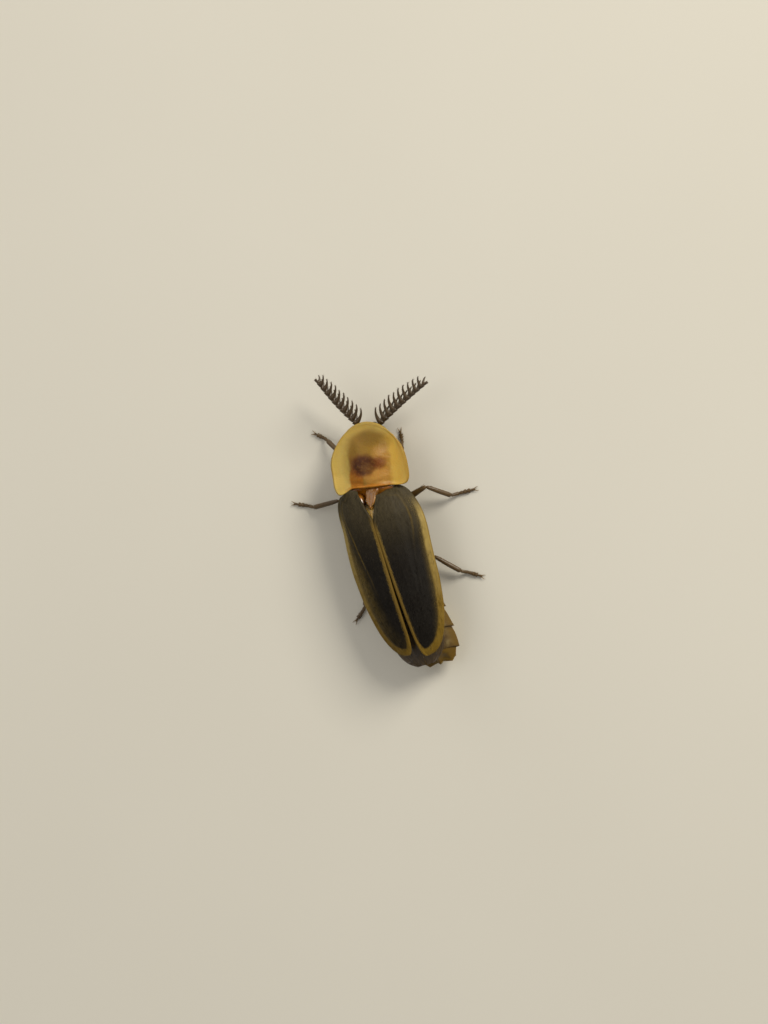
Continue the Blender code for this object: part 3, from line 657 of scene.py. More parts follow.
def down_finish(name, dark, pale):
    """Fine lying hair, whose tone changes from hair to hair and which is golden on the bands."""
    finish = Finish(name, Roughness=0.45, Specular_IOR_Level=0.25)
    tone, gold = finish.field("tone"), finish.field("gold")
    tint = finish.mix(dark, pale, tone)
    # The gold darkens with tone; on the wing-case bands the tone is the place along the case, carrying the
    # bands' painted light falloff
    finish.feed("Base Color", finish.mix(tint, finish.mix(BAND_BASE, BAND_TIP, tone * 1.4), gold))
    finish.feed("Roughness", 0.38 + 0.15 * tone)
    return finish.material


def floor_finish():
    """Plain pale ground, faintly clouded."""
    finish = Finish("floor", Roughness=0.85, Specular_IOR_Level=0.2)
    finish.feed("Base Color", finish.mix(FLOOR_SHADE, FLOOR_PALE, finish.noise(0.02)))
    return finish.material


def grid(columns, rows):
    """Values across and along a sheet, from 0 to 1, as two arrays of rows by columns."""
    return np.meshgrid(np.linspace(0.0, 1.0, columns), np.linspace(0.0, 1.0, rows))


def normals(sheet):
    """Unit normals of a sheet of points, rows by columns by 3."""
    across = np.gradient(sheet, axis=1)
    along = np.gradient(sheet, axis=0)
    return unit(np.cross(across, along))


def quads(rows, columns, start=0, closed=False, flip=False):
    """Faces of a sheet whose points are numbered row by row."""
    wide = columns if closed else columns - 1
    i, j = np.meshgrid(np.arange(rows - 1), np.arange(wide), indexing="ij")
    here, beside = i * columns + j, i * columns + (j + 1) % columns
    faces = np.stack([here, beside, beside + columns, here + columns], axis=-1).reshape(-1, 4) + start
    return faces[:, ::-1] if flip else faces


class Form:
    """Points, faces and fields of a piece, which grows part by part."""

    def __init__(self):
        self.parts = []

    def add(self, points, faces, **fields):
        """Adds points and faces. A field is one number for all the points or a value for each."""
        points = np.asarray(points, float).reshape(-1, 3)
        fields.setdefault("place", points)
        self.parts.append((points, faces, fields))
        return self

    def joined(self):
        """All points, the faces numbered through, and each field over all the points."""
        faces, count = [], 0
        for points, face_sets, _ in self.parts:
            faces += [np.asarray(face_set, int) + count for face_set in face_sets]
            count += len(points)
        names = {name for _, _, fields in self.parts for name in fields}
        whole = {}
        for name in sorted(names):
            wide = (3,) if name == "place" else ()
            whole[name] = np.concatenate([
                np.broadcast_to(np.asarray(fields.get(name, 0.0), float), (len(points), *wide))
                for points, _, fields in self.parts
            ])
        return np.concatenate([points for points, _, _ in self.parts]), faces, whole

    def piece(self, name, finish, place, slot, replaces=(), unwrap=None):
        """Makes the object, lets it ride on the body and hides the solids it stands for."""
        points, faces, fields = self.joined()
        mesh = bpy.data.meshes.new(name)
        mesh.vertices.add(len(points))
        mesh.vertices.foreach_set("co", place(points).ravel())
        around = np.concatenate([face_set.ravel() for face_set in faces])
        sizes = np.concatenate([np.full(len(face_set), face_set.shape[1]) for face_set in faces])
        mesh.loops.add(len(around))
        mesh.loops.foreach_set("vertex_index", around)
        mesh.polygons.add(len(sizes))
        mesh.polygons.foreach_set("loop_start", np.concatenate([[0], np.cumsum(sizes)[:-1]]))
        mesh.polygons.foreach_set("loop_total", sizes)
        mesh.update(calc_edges=True)
        for field, values in fields.items():
            kind, key = ("FLOAT_VECTOR", "vector") if values.ndim == 2 else ("FLOAT", "value")
            attribute = mesh.attributes.new(field, kind, "POINT")
            attribute.data.foreach_set(key, values.astype(np.float32).ravel())
        if unwrap is not None:
            layer = mesh.uv_layers.new(name="OFBake")
            layer.data.foreach_set("uv", unwrap[around].astype(np.float32).ravel())
        mesh.shade_smooth()
        mesh.materials.append(finish)
        obj = bpy.data.objects.new(name, mesh)
        bpy.context.scene.collection.objects.link(obj)
        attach(obj, "root")
        if replaces:
            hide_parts(*replaces)
        return obj


def shell(form, sheet, thickness, **fields):
    """Adds a closed plate: a sheet of points, its lower face and a rounded rim between them."""
    bulge = 0.45 * thickness
    rows, columns = sheet.shape[:2]
    inside = [np.clip(np.arange(count), 2, count - 3) for count in (rows, columns)]
    out = normals(sheet)[np.ix_(*inside)]
    if out[..., 2].mean() < 0.0:
        out = -out
    lower = sheet - out * thickness
    ahead = np.arange(columns)
    ring = np.concatenate([
        ahead,
        np.arange(1, rows) * columns + columns - 1,
        (rows - 1) * columns + ahead[-2::-1],
        np.arange(rows - 2, 0, -1) * columns,
    ])
    flat = sheet.reshape(-1, 3)
    inner = np.clip(ring // columns, 1, rows - 2) * columns + np.clip(ring % columns, 1, columns - 2)
    outward = unit(flat[ring] - flat[inner])
    edge = (flat[ring] + lower.reshape(-1, 3)[ring]) / 2.0 + outward * bulge
    count = rows * columns
    upward = np.cross(sheet[1, 1] - sheet[1, 0], sheet[1, 0] - sheet[0, 0])[2] > 0.0
    following = np.roll(np.arange(len(ring)), -1)
    middle = 2 * count + np.arange(len(ring))
    upper_rim = np.stack([ring, middle, middle[following], ring[following]], axis=-1)
    lower_rim = np.stack([middle, ring + count, ring[following] + count, middle[following]], axis=-1)
    faces = [quads(rows, columns), quads(rows, columns, count, flip=True), upper_rim, lower_rim]
    if not upward:
        faces = [face_set[:, ::-1] for face_set in faces]
    spread = {}
    for name, value in fields.items():
        value = np.broadcast_to(np.asarray(value, float), (rows, columns)).ravel()
        spread[name] = np.concatenate([value, value, value[ring]])
    return form.add(np.concatenate([flat, lower.reshape(-1, 3), edge]), faces, **spread)


def loft(form, rings, **fields):
    """Adds a closed body through rings of points, stations by points round by 3, with capped ends."""
    stations, around = rings.shape[:2]
    flat = rings.reshape(-1, 3)
    caps = np.stack([rings[0].mean(axis=0), rings[-1].mean(axis=0)])
    round_index = np.arange(around)
    following = np.roll(round_index, -1)
    last = (stations - 1) * around
    first_cap = np.stack([np.full(around, len(flat)), following, round_index], axis=-1)
    last_cap = np.stack([np.full(around, len(flat) + 1), last + round_index, last + following], axis=-1)
    spread = {}
    for name, value in fields.items():
        value = np.asarray(value, float)
        value = np.broadcast_to(value[:, None] if value.ndim == 1 else value, (stations, around))
        spread[name] = np.concatenate([value.ravel(), [value[0].mean(), value[-1].mean()]])
    faces = [quads(stations, around, closed=True), first_cap, last_cap]
    inside_out = signed_volume(np.concatenate([flat, caps]), faces) < 0.0
    if inside_out:
        faces = [face_set[:, ::-1] for face_set in faces]
    return form.add(np.concatenate([flat, caps]), faces, **spread)


def signed_volume(points, faces):
    """Six times the volume inside the faces, below 0 where they point inwards."""
    total = 0.0
    for face_set in faces:
        for k in range(2, face_set.shape[1]):
            a, b, c = (points[face_set[:, corner]] for corner in (0, k - 1, k))
            total += (a * np.cross(b, c)).sum()
    return total


def curve_through(points, count):
    """Evenly numbered points of a smooth curve through the given ones."""
    points = np.asarray(points, float)
    knots = np.concatenate([[0.0], np.cumsum(np.linalg.norm(np.diff(points, axis=0), axis=1))])
    t = np.linspace(0.0, knots[-1], count)
    return np.stack([through(list(zip(knots, points[:, axis])), t) for axis in range(3)], axis=-1)


def limb(form, path, radii, around=16, flatness=1.0, **fields):
    """Adds a rounded bar along a path. Flatness squeezes its section from above."""
    path = np.asarray(path, float)
    ahead = unit(np.gradient(path, axis=0))
    side = unit(np.cross(np.broadcast_to(UP, path.shape), ahead))
    over = np.cross(ahead, side)
    angle = np.linspace(0.0, 2.0 * math.pi, around, endpoint=False)
    radii = np.broadcast_to(np.asarray(radii, float), (len(path),))[:, None, None]
    across = side[:, None] * np.cos(angle)[None, :, None]
    upward = over[:, None] * np.sin(angle)[None, :, None] * flatness
    return loft(form, path[:, None] + radii * (across + upward), **fields)


def rounded(t, ends):
    """Widths from 0 to 1 along t that close a bar with round ends."""
    near = np.minimum(np.clip(t / ends, 0.0, 1.0), np.clip((1.0 - t) / ends, 0.0, 1.0))
    return np.sqrt(np.clip(1.0 - (1.0 - near) ** 2, 0.0, 1.0)) * 0.97 + 0.03


def tapered(path, radius, share):
    """Radii along a path that lose a share of their size by its end."""
    return radius * (1.0 - share * np.linspace(0.0, 1.0, len(path)))


def blades(roots, ways, rises, lengths, radius):
    """Points and faces of tapered hairs, and how many points each hair has.

    The hairs start along ways and bend towards their rises.
    """
    ways, rises = unit(ways), unit(rises)
    side = unit(np.cross(ways, rises))
    over = np.cross(side, ways)
    angle = np.linspace(0.0, 2.0 * math.pi, HAIR_SIDES, endpoint=False)
    rings = []
    for t, width in HAIR_LEVELS:
        centre = roots + ways * (lengths * t)[:, None] + rises * (lengths * HAIR_CURL * t * t)[:, None]
        offset = side[:, None] * np.cos(angle)[None, :, None] + over[:, None] * np.sin(angle)[None, :, None]
        rings.append(centre[:, None] + offset * (radius * width)[:, None, None])
    points = np.stack(rings, axis=1)
    levels = len(HAIR_LEVELS)
    size = levels * HAIR_SIDES
    base = np.arange(len(roots))[:, None, None] * size
    one = quads(levels, HAIR_SIDES, closed=True)
    tip = np.arange(HAIR_SIDES)[None] + (levels - 1) * HAIR_SIDES
    root_cap = np.arange(HAIR_SIDES)[None, ::-1]
    faces = [(base + face_set[None]).reshape(-1, face_set.shape[1]) for face_set in (one, tip, root_cap)]
    return points.reshape(-1, 3), faces, size


def case_outer(s):
    """Distance of the wing case's outer edge from the middle line, s from its base."""
    base = np.clip((CASE_SHOULDER - s) / CASE_SHOULDER, 0.0, 1.0) ** CASE_SHOULDER_POWER
    shoulder = CASE_BASE_REACH + (CASE_REACH - CASE_BASE_REACH) * np.sqrt(1.0 - base)
    t = np.clip((s - CASE_WIDEST) / (CASE_LENGTH - CASE_WIDEST), 0.0, 1.0) ** CASE_TAPER_POWER
    behind = CASE_TIP + (CASE_REACH - CASE_TIP) * (1.0 - t) ** CASE_TIP_POWER
    return np.where(s < CASE_SHOULDER, shoulder, behind)


def case_inner(s):
    """Distance of the seam edge from the middle line: a notch, a closed stretch, then a slow parting."""
    notch = CASE_BASE_NOTCH * np.clip(1.0 - s / CASE_SHOULDER, 0.0, 1.0) ** CASE_NOTCH_POWER
    parting = SEAM_PARTING * np.clip(s - SEAM_CLOSED_TO, 0.0, None)
    near_tip = np.clip(1.0 - (CASE_LENGTH - s) / CASE_TIP_CURVE, 0.0, 1.0)
    tip = (CASE_TIP - CASE_TIP_INSET) * (1.0 - np.sqrt(1.0 - near_tip**CASE_TIP_ROUNDING))
    return np.minimum(SEAM_GAP + notch + parting + tip, CASE_TIP)


def case_crown(s):
    """Height of the pair of wing cases on the middle line."""
    base = CASE_BASE_DROP * np.clip(1.0 - s / CASE_BASE_CURVE, 0.0, None) ** 2
    tip = CASE_TIP_DROP * np.clip(1.0 - (CASE_LENGTH - s) / CASE_TIP_SLOPE, 0.0, None) ** 2
    return CASE_CROWN - base - tip


def case_height(x, s):
    """Height of the arched pair of wing cases, without its ridges and rims."""
    outer = case_outer(s)
    drop = CASE_SIDE_DROP * (outer / CASE_REACH) ** CASE_NARROWING_POWER
    return case_crown(s) - drop * (np.abs(x) / outer) ** CASE_ARCH_POWER


def nearest(points, border):
    """Distance of each point to the nearest of the border's points."""
    offsets = points[..., None, :2] - border[:, :2]
    return np.sqrt((offsets**2).sum(axis=-1).min(axis=-1))


def ridge_place(side, s):
    """Distance of the side ridge from the wing case's outer edge."""
    start, more = SIDE_RIDGE[side]
    return start + more * smooth_step(0.0, 0.55, s / CASE_LENGTH)


def case_sheet(side):
    """The upper face of a wing case and, for each of its points, the distance from its base."""
    across, v = grid(*CASE_GRID)
    s = CASE_LENGTH * (1.0 - np.cos(math.pi * v)) / 2.0
    inner, outer = case_inner(s), case_outer(s)
    x = inner + (outer - inner) * across
    fade = smooth_step(0.0, 0.08, v) * (1.0 - smooth_step(0.7, 0.92, v))
    ridges = sum(height * bell(across, place, 0.035) for place, height in COSTAE)
    from_edge = outer - x
    side_ridge = SIDE_RIDGE_HEIGHT * bell(from_edge, ridge_place(side, s), 0.12)
    side_ridge = side_ridge * (1.0 - smooth_step(0.45, 0.75, v))
    rim = 0.13 * (1.0 - smooth_step(0.0, 0.42, from_edge)) + 0.03 * bell(from_edge, 0.07, 0.06)
    seam_bead = 0.04 * bell(x - inner, 0.09, 0.08)
    wave = 0.02 * np.sin(2.3 * s + 3.0 * across) * np.sin(5.0 * across)
    z = case_height(x, s) + (ridges + side_ridge + rim + wave) * fade + seam_bead * smooth_step(0.1, 0.2, v)
    spread, place, length = SHOULDER_SPREAD[side]
    x = x * (1.0 + spread * bell(s, place, length) * across**2)
    y = CASE_START[side] + s - through(CASE_AHEAD[side], across) * smooth_step(1.6, 0.0, s)
    return np.stack([SIDES[side] * x, y, z], axis=-1), s


def on_sheet(sheet, row, column):
    """Points of a sheet at row and column numbers that need not be whole."""
    i = np.clip(row.astype(int), 0, sheet.shape[0] - 2)
    j = np.clip(column.astype(int), 0, sheet.shape[1] - 2)
    a, b = (row - i)[:, None], (column - j)[:, None]
    front = sheet[i, j] * (1.0 - b) + sheet[i, j + 1] * b
    behind = sheet[i + 1, j] * (1.0 - b) + sheet[i + 1, j + 1] * b
    return front * (1.0 - a) + behind * a


def case_borders(sheet):
    """Distance of each point of a wing case to its outer edge and to its seam."""
    return nearest(sheet, np.concatenate([sheet[:, -1], sheet[-1]])), nearest(sheet, sheet[:, 0])


def wing_case(side):
    """A thin plate with fields for its bands: distances to its edge, seam and ridge, and place along it."""
    sheet, s = case_sheet(side)
    edge, seam = case_borders(sheet)
    ridge = edge - ridge_place(side, s)
    form = shell(Form(), sheet, CASE_THICKNESS, edge=edge, seam=seam, along=s / CASE_LENGTH, ridge=ridge)
    form.piece(f"wing_case_{side}", wing_case_finish(side), in_body, "wing_case", [f"elytron_{side}"])


def case_down(side, finish):
    """Short hair that lies along the wing case, palest near its base and golden on the bands."""
    draw = np.random.default_rng(CASE_SEEDS[side])
    sheet, _ = case_sheet(side)
    out = normals(sheet)
    out = out * np.sign(out[..., 2:].mean())
    borders = np.stack([*case_borders(sheet), np.zeros(sheet.shape[:2])], axis=-1)
    rows, columns = sheet.shape[:2]
    drawn = CASE_HAIRS * 2
    along = draw.uniform(0.004, 0.985, drawn)
    across = draw.uniform(0.03, 0.97, drawn)
    wide = (case_outer(along * CASE_LENGTH) - case_inner(along * CASE_LENGTH)) / CASE_REACH
    kept = draw.uniform(0.0, 1.0, drawn) < wide
    along, across = along[kept][:CASE_HAIRS], across[kept][:CASE_HAIRS]
    count = len(along)
    row = np.arccos(1.0 - 2.0 * along) / math.pi * (rows - 1)
    column = across * (columns - 1)
    roots, up = on_sheet(sheet, row, column), unit(on_sheet(out, row, column))
    edge, seam, _ = on_sheet(borders, row, column).T
    aside = draw.normal(0.0, 0.14, count) - SIDES[side] * 0.1
    flow = np.stack([aside, np.ones(count), np.zeros(count)], axis=-1)
    flow = unit(flow - up * (flow * up).sum(axis=-1, keepdims=True))
    lift = draw.uniform(0.12, 0.28, count)[:, None]
    lengths = draw.uniform(*CASE_HAIR_LENGTHS, count)
    radii = draw.uniform(*CASE_HAIR_RADII, count)
    points, faces, size = blades(roots - up * 0.01, flow + up * lift, flow - up * 0.6, lengths, radii)
    tone = np.clip(0.5 * (1.0 - along * 2.4) + draw.exponential(0.08, count), 0.0, 1.0)
    # Hairs on the bands take their place along the case as tone, so their gold darkens towards the tail
    # with the bands' painted light falloff
    tone = np.where(np.minimum(edge - 0.6, seam - 0.3) < 0.0, along, tone)
    beside = smooth_step(0.7, 0.48, edge) * smooth_step(0.02, 0.12, along)
    gold = np.maximum(beside, smooth_step(0.36, 0.24, seam) * smooth_step(0.12, 0.22, along))
    patch = np.stack(np.meshgrid(*[np.linspace(0.0, HAIR_PATCH, 3)] * 2), axis=-1).reshape(-1, 2)
    unwrap = np.repeat(np.stack([across, along], axis=-1) * 0.99, size, axis=0) + np.tile(patch, (count, 1))
    form = Form().add(points, faces, tone=np.repeat(tone, size), gold=np.repeat(gold, size))
    form.piece(f"wing_case_down_{side}", finish, in_body, "wing_case", unwrap=unwrap)


def wing_height(x, y):
    """Height of the folded hind wing's upper face."""
    behind = smooth_step(8.5, 12.5, y)
    fall = (1.9 - 0.7 * behind) * (np.abs(x) / 3.3) ** 2.2
    return case_crown(y) - WING_DEPTH - WING_TIP_DEPTH * behind - fall


def hind_wing(side, finish):
    """A folded wing skin with raised veins, pleats and a soft hind edge."""
    across, v = grid(*WING_GRID)
    y = WING_START + (WING_END - WING_START) * (1.0 - (1.0 - v) ** 1.5)
    outer = through(WING_REACH, y)
    x = WING_SEAM_GAP + (outer - WING_SEAM_GAP) * across
    vein = sum(bell(across, place + 0.05 * np.sin(0.5 * y), 0.03) for place in WING_VEINS)
    vein = np.clip(vein + bell(y, 13.2 + 0.6 * across, 0.06) * 0.8, 0.0, 1.0)
    pleats = 0.05 * np.sin(across * 9.0 + 0.4 * np.sin(y * 1.7)) * smooth_step(11.5, 13.0, y)
    lift = 0.05 * SIDES[side] * smooth_step(12.0, 14.0, y)
    z = wing_height(x, y) + 0.03 * vein + pleats + lift
    sheet = np.stack([SIDES[side] * x, y, z], axis=-1)
    form = shell(Form(), sheet, WING_THICKNESS, vein=vein)
    form.piece(f"hind_wing_{side}", finish, in_body, "hind_wing", [f"hindwing_{side}"])


def shield_outline(angle):
    """Distance of the shield's edge from its centre, by angle from the beetle's left."""
    across, along = np.cos(angle), np.sin(angle)
    power = np.where(along < 0.0, SHIELD_POWERS["front"], SHIELD_POWERS["back"])
    depth = np.where(along < 0.0, SHIELD_FRONT, SHIELD_BACK)
    return (np.abs(across / SHIELD_REACH) ** power + np.abs(along / depth) ** power) ** (-1.0 / power)


def shield_height(x, y):
    """Height of the shield's upper face: broad flanges that run up into a rounded disc."""
    flange = SHIELD_LEVEL + SHIELD_SLOPE * (y - SHIELD_CENTRE) - SHIELD_FALL * (x / SHIELD_REACH) ** 2
    along = smooth_step(DISC_FRONT, DISC_TOP, y)
    hind = 1.0 - 0.25 * smooth_step(-1.0, 0.1, y)
    across = np.clip(1.0 - (x / DISC_REACH) ** 2, 0.0, None) ** 2
    return flange + DISC_RISE * along * hind * across


def shield(finish):
    """The head shield with its raised rim, its furrow, the fold behind and the lifted left lobe."""
    u, v = grid(*SHIELD_GRID)
    a, b = 2.0 * u - 1.0, 2.0 * v - 1.0
    across, along = a * np.sqrt(1.0 - b * b / 2.0), b * np.sqrt(1.0 - a * a / 2.0)
    reach, angle = np.hypot(across, along), np.arctan2(along, across)
    edge = shield_outline(angle)
    x, y = edge * reach * np.cos(angle), SHIELD_CENTRE + edge * reach * np.sin(angle)
    corner = np.where(x > 0.0, SHIELD_CORNERS["left"], SHIELD_CORNERS["right"])
    y = y + corner * smooth_step(0.45, 0.95, np.abs(x) / SHIELD_REACH) * smooth_step(-1.2, -0.2, y)
    x = x + SHIELD_LEAN * bell(y, -2.5, 1.3)
    from_edge = edge * (1.0 - reach)
    rim = 0.07 * (1.0 - smooth_step(0.0, 0.55, from_edge)) + 0.045 * bell(from_edge, 0.07, 0.07)
    furrow = 0.035 * bell(x, 0.0, 0.3) * bell(y, -2.6, 1.0)
    hind_fold = 0.05 * bell(y, -0.5 + 0.12 * np.cos(2.2 * x), 0.2)
    hind_fold = hind_fold * (1.0 - smooth_step(1.5, 2.2, np.abs(x)))
    lumps = 0.05 * bell(np.abs(x + 0.1), 1.0, 0.4) * bell(y, -2.2, 0.7)
    dimples = 0.012 * np.sin(5.0 * x + 2.0 * np.sin(3.0 * y)) * np.sin(4.4 * y + 1.3 * x)
    dimples = dimples * smooth_step(2.6, 1.6, np.abs(x))
    lobe = LOBE_LIFT * smooth_step(0.45, 0.85, x / SHIELD_REACH) * smooth_step(-1.5, -0.3, y)
    z = shield_height(x, y) + rim - furrow - hind_fold + lumps + dimples + lobe
    form = shell(Form(), np.stack([x, y, z], axis=-1), SHIELD_THICKNESS, edge=from_edge)
    form.piece("shield", finish, in_neck, "shield", ["pronotum"])


def abdomen_middle(y):
    """The abdomen's middle line bends to the beetle's right behind."""
    return -ABDOMEN_BEND * smooth_step(6.5, 13.5, y)


def segment_phase(y):
    """How far y lies along its body segment, from 0 at its front to 1 at its hind edge."""
    starts = np.array((ABDOMEN_START, *SEGMENT_ENDS))
    i = np.clip(np.searchsorted(starts, y, side="left") - 1, 0, len(starts) - 2)
    return np.clip((y - starts[i]) / (starts[i + 1] - starts[i]), 0.0, 1.0)


def section(middle, y, reach, top, edge, bottom, around, power_up=2.0):
    """One ring of the trunk: across, along and up, and how far each point lies to the side."""
    angle = np.linspace(0.0, 2.0 * math.pi, around, endpoint=False)
    c, s = np.cos(angle), np.sin(angle)
    side = np.abs(c)
    upper = edge + (top - edge) * (1.0 - side**power_up)
    lower = edge - (edge - bottom) * (1.0 - side**UNDERSIDE_POWER)
    z = np.where(s >= 0.0, upper, lower)
    return np.stack([middle + reach * c, np.full(around, y), z], axis=-1), side


def stations(start, end):
    """Places along the hind body, doubled at each segment's hind edge so that the edge is crisp."""
    places = list(np.arange(start, end, TRUNK_STEP))
    for joint in SEGMENT_ENDS:
        if start < joint < end:
            places += [joint - 1e-3, joint + SEGMENT_STEP]
    return np.array(sorted(places + [end]))


def abdomen_section(y):
    """A ring of the abdomen, how far its points lie to the side, and its place along the segment."""
    phase = segment_phase(y)
    lift = 0.045 * phase
    reach = through(ABDOMEN_REACH, y) + LOBE_FLARE * phase**1.5
    edge = ABDOMEN_EDGE_LEVEL - TAIL_DROOP * smooth_step(8.0, 13.0, y)
    top = wing_height(0.0, y) - 0.32 + lift
    bottom = TRUNK_FLOOR - 0.1 - 0.3 * smooth_step(9.0, 14.0, y) - lift
    ring, side = section(abdomen_middle(y), y, reach, top, edge, bottom, TRUNK_AROUND, 1.8)
    ring[:, 1] += LOBE_POINT * side**6 * math.cos(math.pi * phase) ** 2
    covered = np.abs(ring[:, 0]) < through(WING_REACH, y) + 0.2
    roof = wing_height(ring[:, 0], y) - 0.12
    ring[:, 2] = np.where(covered, np.minimum(ring[:, 2], roof), ring[:, 2])
    return ring, side, phase


def thorax_section(y):
    """A ring of the hind thorax, with the groove and the sutures of its underside."""
    top = TRUNK_TOP - 0.35 * smooth_step(0.9, 0.0, y)
    bottom = TRUNK_FLOOR - 0.06 * bell(y, 2.9, 0.5)
    ring, side = section(0.0, y, through(THORAX_REACH, y), top, THORAX_EDGE_LEVEL, bottom, TRUNK_AROUND)
    below = ring[:, 2] < THORAX_EDGE_LEVEL
    groove = 0.05 * bell(ring[:, 0], 0.0, 0.06) * smooth_step(0.9, 1.4, y)
    suture = 0.04 * bell(y, 1.9 - 0.25 * np.abs(ring[:, 0]), 0.07)
    ring[:, 2] += np.where(below, groove + suture, 0.0)
    return ring, side, 0.3


def under_of(rings):
    """1 on the lowest point of each ring, falling to 0 at its sides and above."""
    count, around = np.shape(rings)[:2]
    angle = np.linspace(0.0, 2.0 * math.pi, around, endpoint=False)
    return np.broadcast_to(np.clip(-np.sin(angle), 0.0, 1.0), (count, around))


def drawn_in(ring, share, shift):
    """A ring made smaller round its middle and moved along the body."""
    middle = ring.mean(axis=0)
    return middle + (ring - middle) * share + (0.0, shift, 0.0)


def hind_trunk(name, start, end, finish, slot, nodes):
    """A length of the hind body, whose front end lies inside the length before it."""
    rings, sides, phases, joints = [], [], [], []
    for y in stations(start, end):
        ring, side, phase = thorax_section(y) if y < THORAX_REACH[-1][0] else abdomen_section(y)
        rings.append(ring)
        sides.append(side)
        phases.append(phase)
        joints.append(bell(np.abs(y - np.array(SEGMENT_ENDS)).min(), 0.0, 0.09))
    rings = np.array([drawn_in(rings[0], 0.8, -0.25), *rings, drawn_in(rings[-1], 0.9, 0.02)])
    sides, phases, joints = ([values[0], *values, values[-1]] for values in (sides, phases, joints))
    form = loft(Form(), rings, side=sides, phase=phases, joint=joints, under=under_of(rings))
    form.piece(name, finish, in_body, slot, nodes)


def tail(finish):
    """The last plate, with a scalloped hind edge."""
    rings, sides = [], []
    for y in np.linspace(TAIL_START, TAIL_START + TAIL_LENGTH, 26):
        ring, side, _ = abdomen_section(min(y, 14.5))
        t = (y - TAIL_START) / TAIL_LENGTH
        across = (ring[:, 0] - abdomen_middle(y)) / 1.45
        ring[:, 1] = y - 0.35 * t * np.abs(np.sin(1.5 * math.pi * np.clip(across, -1.0, 1.0)))
        middle = ring.mean(axis=0)
        slim = 1.0 - 0.75 * smooth_step(0.2, 1.0, t)
        ring[:, 2] = middle[2] + (ring[:, 2] - middle[2]) * slim
        rings.append(ring)
        sides.append(side)
    form = loft(Form(), np.array(rings), side=np.array(sides), phase=0.5, under=under_of(rings))
    form.piece("tail_plate", finish, in_body, "tail_edge", ["tail_segment"])


def prothorax(finish):
    """The body under the shield, and the narrow waist behind it."""
    level = PROTHORAX_EDGE_LEVEL
    angle = np.linspace(0.0, 2.0 * math.pi, PROTHORAX_AROUND, endpoint=False)
    rings, sides = [], []
    for y in np.linspace(PROTHORAX_REACH[0][0], PROTHORAX_REACH[-1][0], 70):
        reach = through(PROTHORAX_REACH, y)
        narrow = reach / 1.75
        bottom = level - (level - TRUNK_FLOOR - 0.1) * narrow**0.6
        ring, side = section(0.0, y, reach, level, level, bottom, PROTHORAX_AROUND)
        roof = shield_height(ring[:, 0], min(y, -0.3)) - 0.3 - 0.5 * smooth_step(-0.3, 0.5, y)
        upper = level + (roof - level) * (1.0 - side**5) * narrow**0.5
        groove = 0.04 * bell(ring[:, 0], 0.0, 0.08)
        ring[:, 2] = np.where(np.sin(angle) >= 0.0, upper, ring[:, 2] + groove)
        rings.append(ring)
        sides.append(side)
    form = loft(Form(), np.array(rings), side=np.array(sides), phase=0.3, under=under_of(rings))
    form.piece("prothorax_skin", finish, in_neck, "underside", ["prothorax"])


def waist_plate(form):
    """Adds the rolled amber plate behind the shield."""
    u, v = grid(70, 60)
    a, b = 2.0 * u - 1.0, 2.0 * v - 1.0
    x = 0.1 + 2.15 * a * (1.0 - 0.3 * smooth_step(0.3, 1.0, b))
    y = 0.25 + b - 0.12 * a * a
    rolled = 0.1 * bell(y, -0.05, 0.16) - 0.5 * smooth_step(0.1, 0.9, y)
    lumps = 0.05 * np.sin(4.2 * x + 1.0) * np.cos(3.0 * y)
    sides = 0.85 * smooth_step(1.75, 2.3, np.abs(x - 0.1)) - 0.12 * bell(x, 1.7, 0.4)
    z = 3.62 - 0.5 * ((x + 0.1) / 1.95) ** 2 - sides + rolled + lumps
    shell(form, neck_to_body(np.stack([x, y, z], axis=-1)), WAIST_THICKNESS)


def scutellum(form):
    """Adds the tongue between the wing-case bases: a bowl with a raised border.

    Its plate field grows along it to 1 on the border, and is 0 on the rest of the collar.
    """
    u, v = grid(30, 50)
    a = 2.0 * u - 1.0
    y = -0.35 + 1.73 * v
    half = 0.44 * (1.0 - 0.25 * smooth_step(0.1, 0.6, v))
    half = half * np.sqrt(1.0 - smooth_step(0.5, 1.0, v) ** 2 + 0.05)
    x = 0.14 * v - 0.08 + a * half
    bowl = 0.09 * bell(v, 0.66, 0.22) * bell(a, 0.0, 0.5) - 0.05 * bell(v, 0.3, 0.12)
    borders = np.maximum(smooth_step(0.7, 1.0, np.abs(a)), smooth_step(0.88, 1.0, v))
    knobs = 0.04 * np.sin(9.0 * x + 1.0) * np.cos(7.0 * y) * (1.0 - smooth_step(0.3, 0.6, v))
    z = 3.84 + 0.45 * smooth_step(-0.3, 1.2, y) - 0.12 * a * a - bowl + 0.05 * borders + knobs
    plate = 0.3 + 0.5 * smooth_step(0.1, 0.45, v)
    plate = plate + (1.0 - plate) * smooth_step(0.4, 0.6, v) * borders
    shell(form, neck_to_body(np.stack([x, y, z], axis=-1)), SCUTELLUM_THICKNESS, plate=plate)


def seam_skin(form):
    """Adds the pale skin that shows between the wing cases where they part at the base."""
    u, v = grid(16, 40)
    y = 0.2 + 2.5 * v
    x = (2.0 * u - 1.0) * (case_inner(y) + 0.14)
    depth = 0.3 - 0.13 * smooth_step(0.9, 1.5, y) + 0.4 * smooth_step(1.1, 0.3, y)
    sheet = np.stack([x, y, case_crown(y) - depth + 0.05 * bell(x, 0.0, 0.05)], axis=-1)
    # The strip field fades out at the front, where the skin takes the collar's dark amber: painted shade
    # under the wing-case bases
    shell(form, sheet, SKIN_THICKNESS, strip=smooth_step(0.3, 0.9, y))


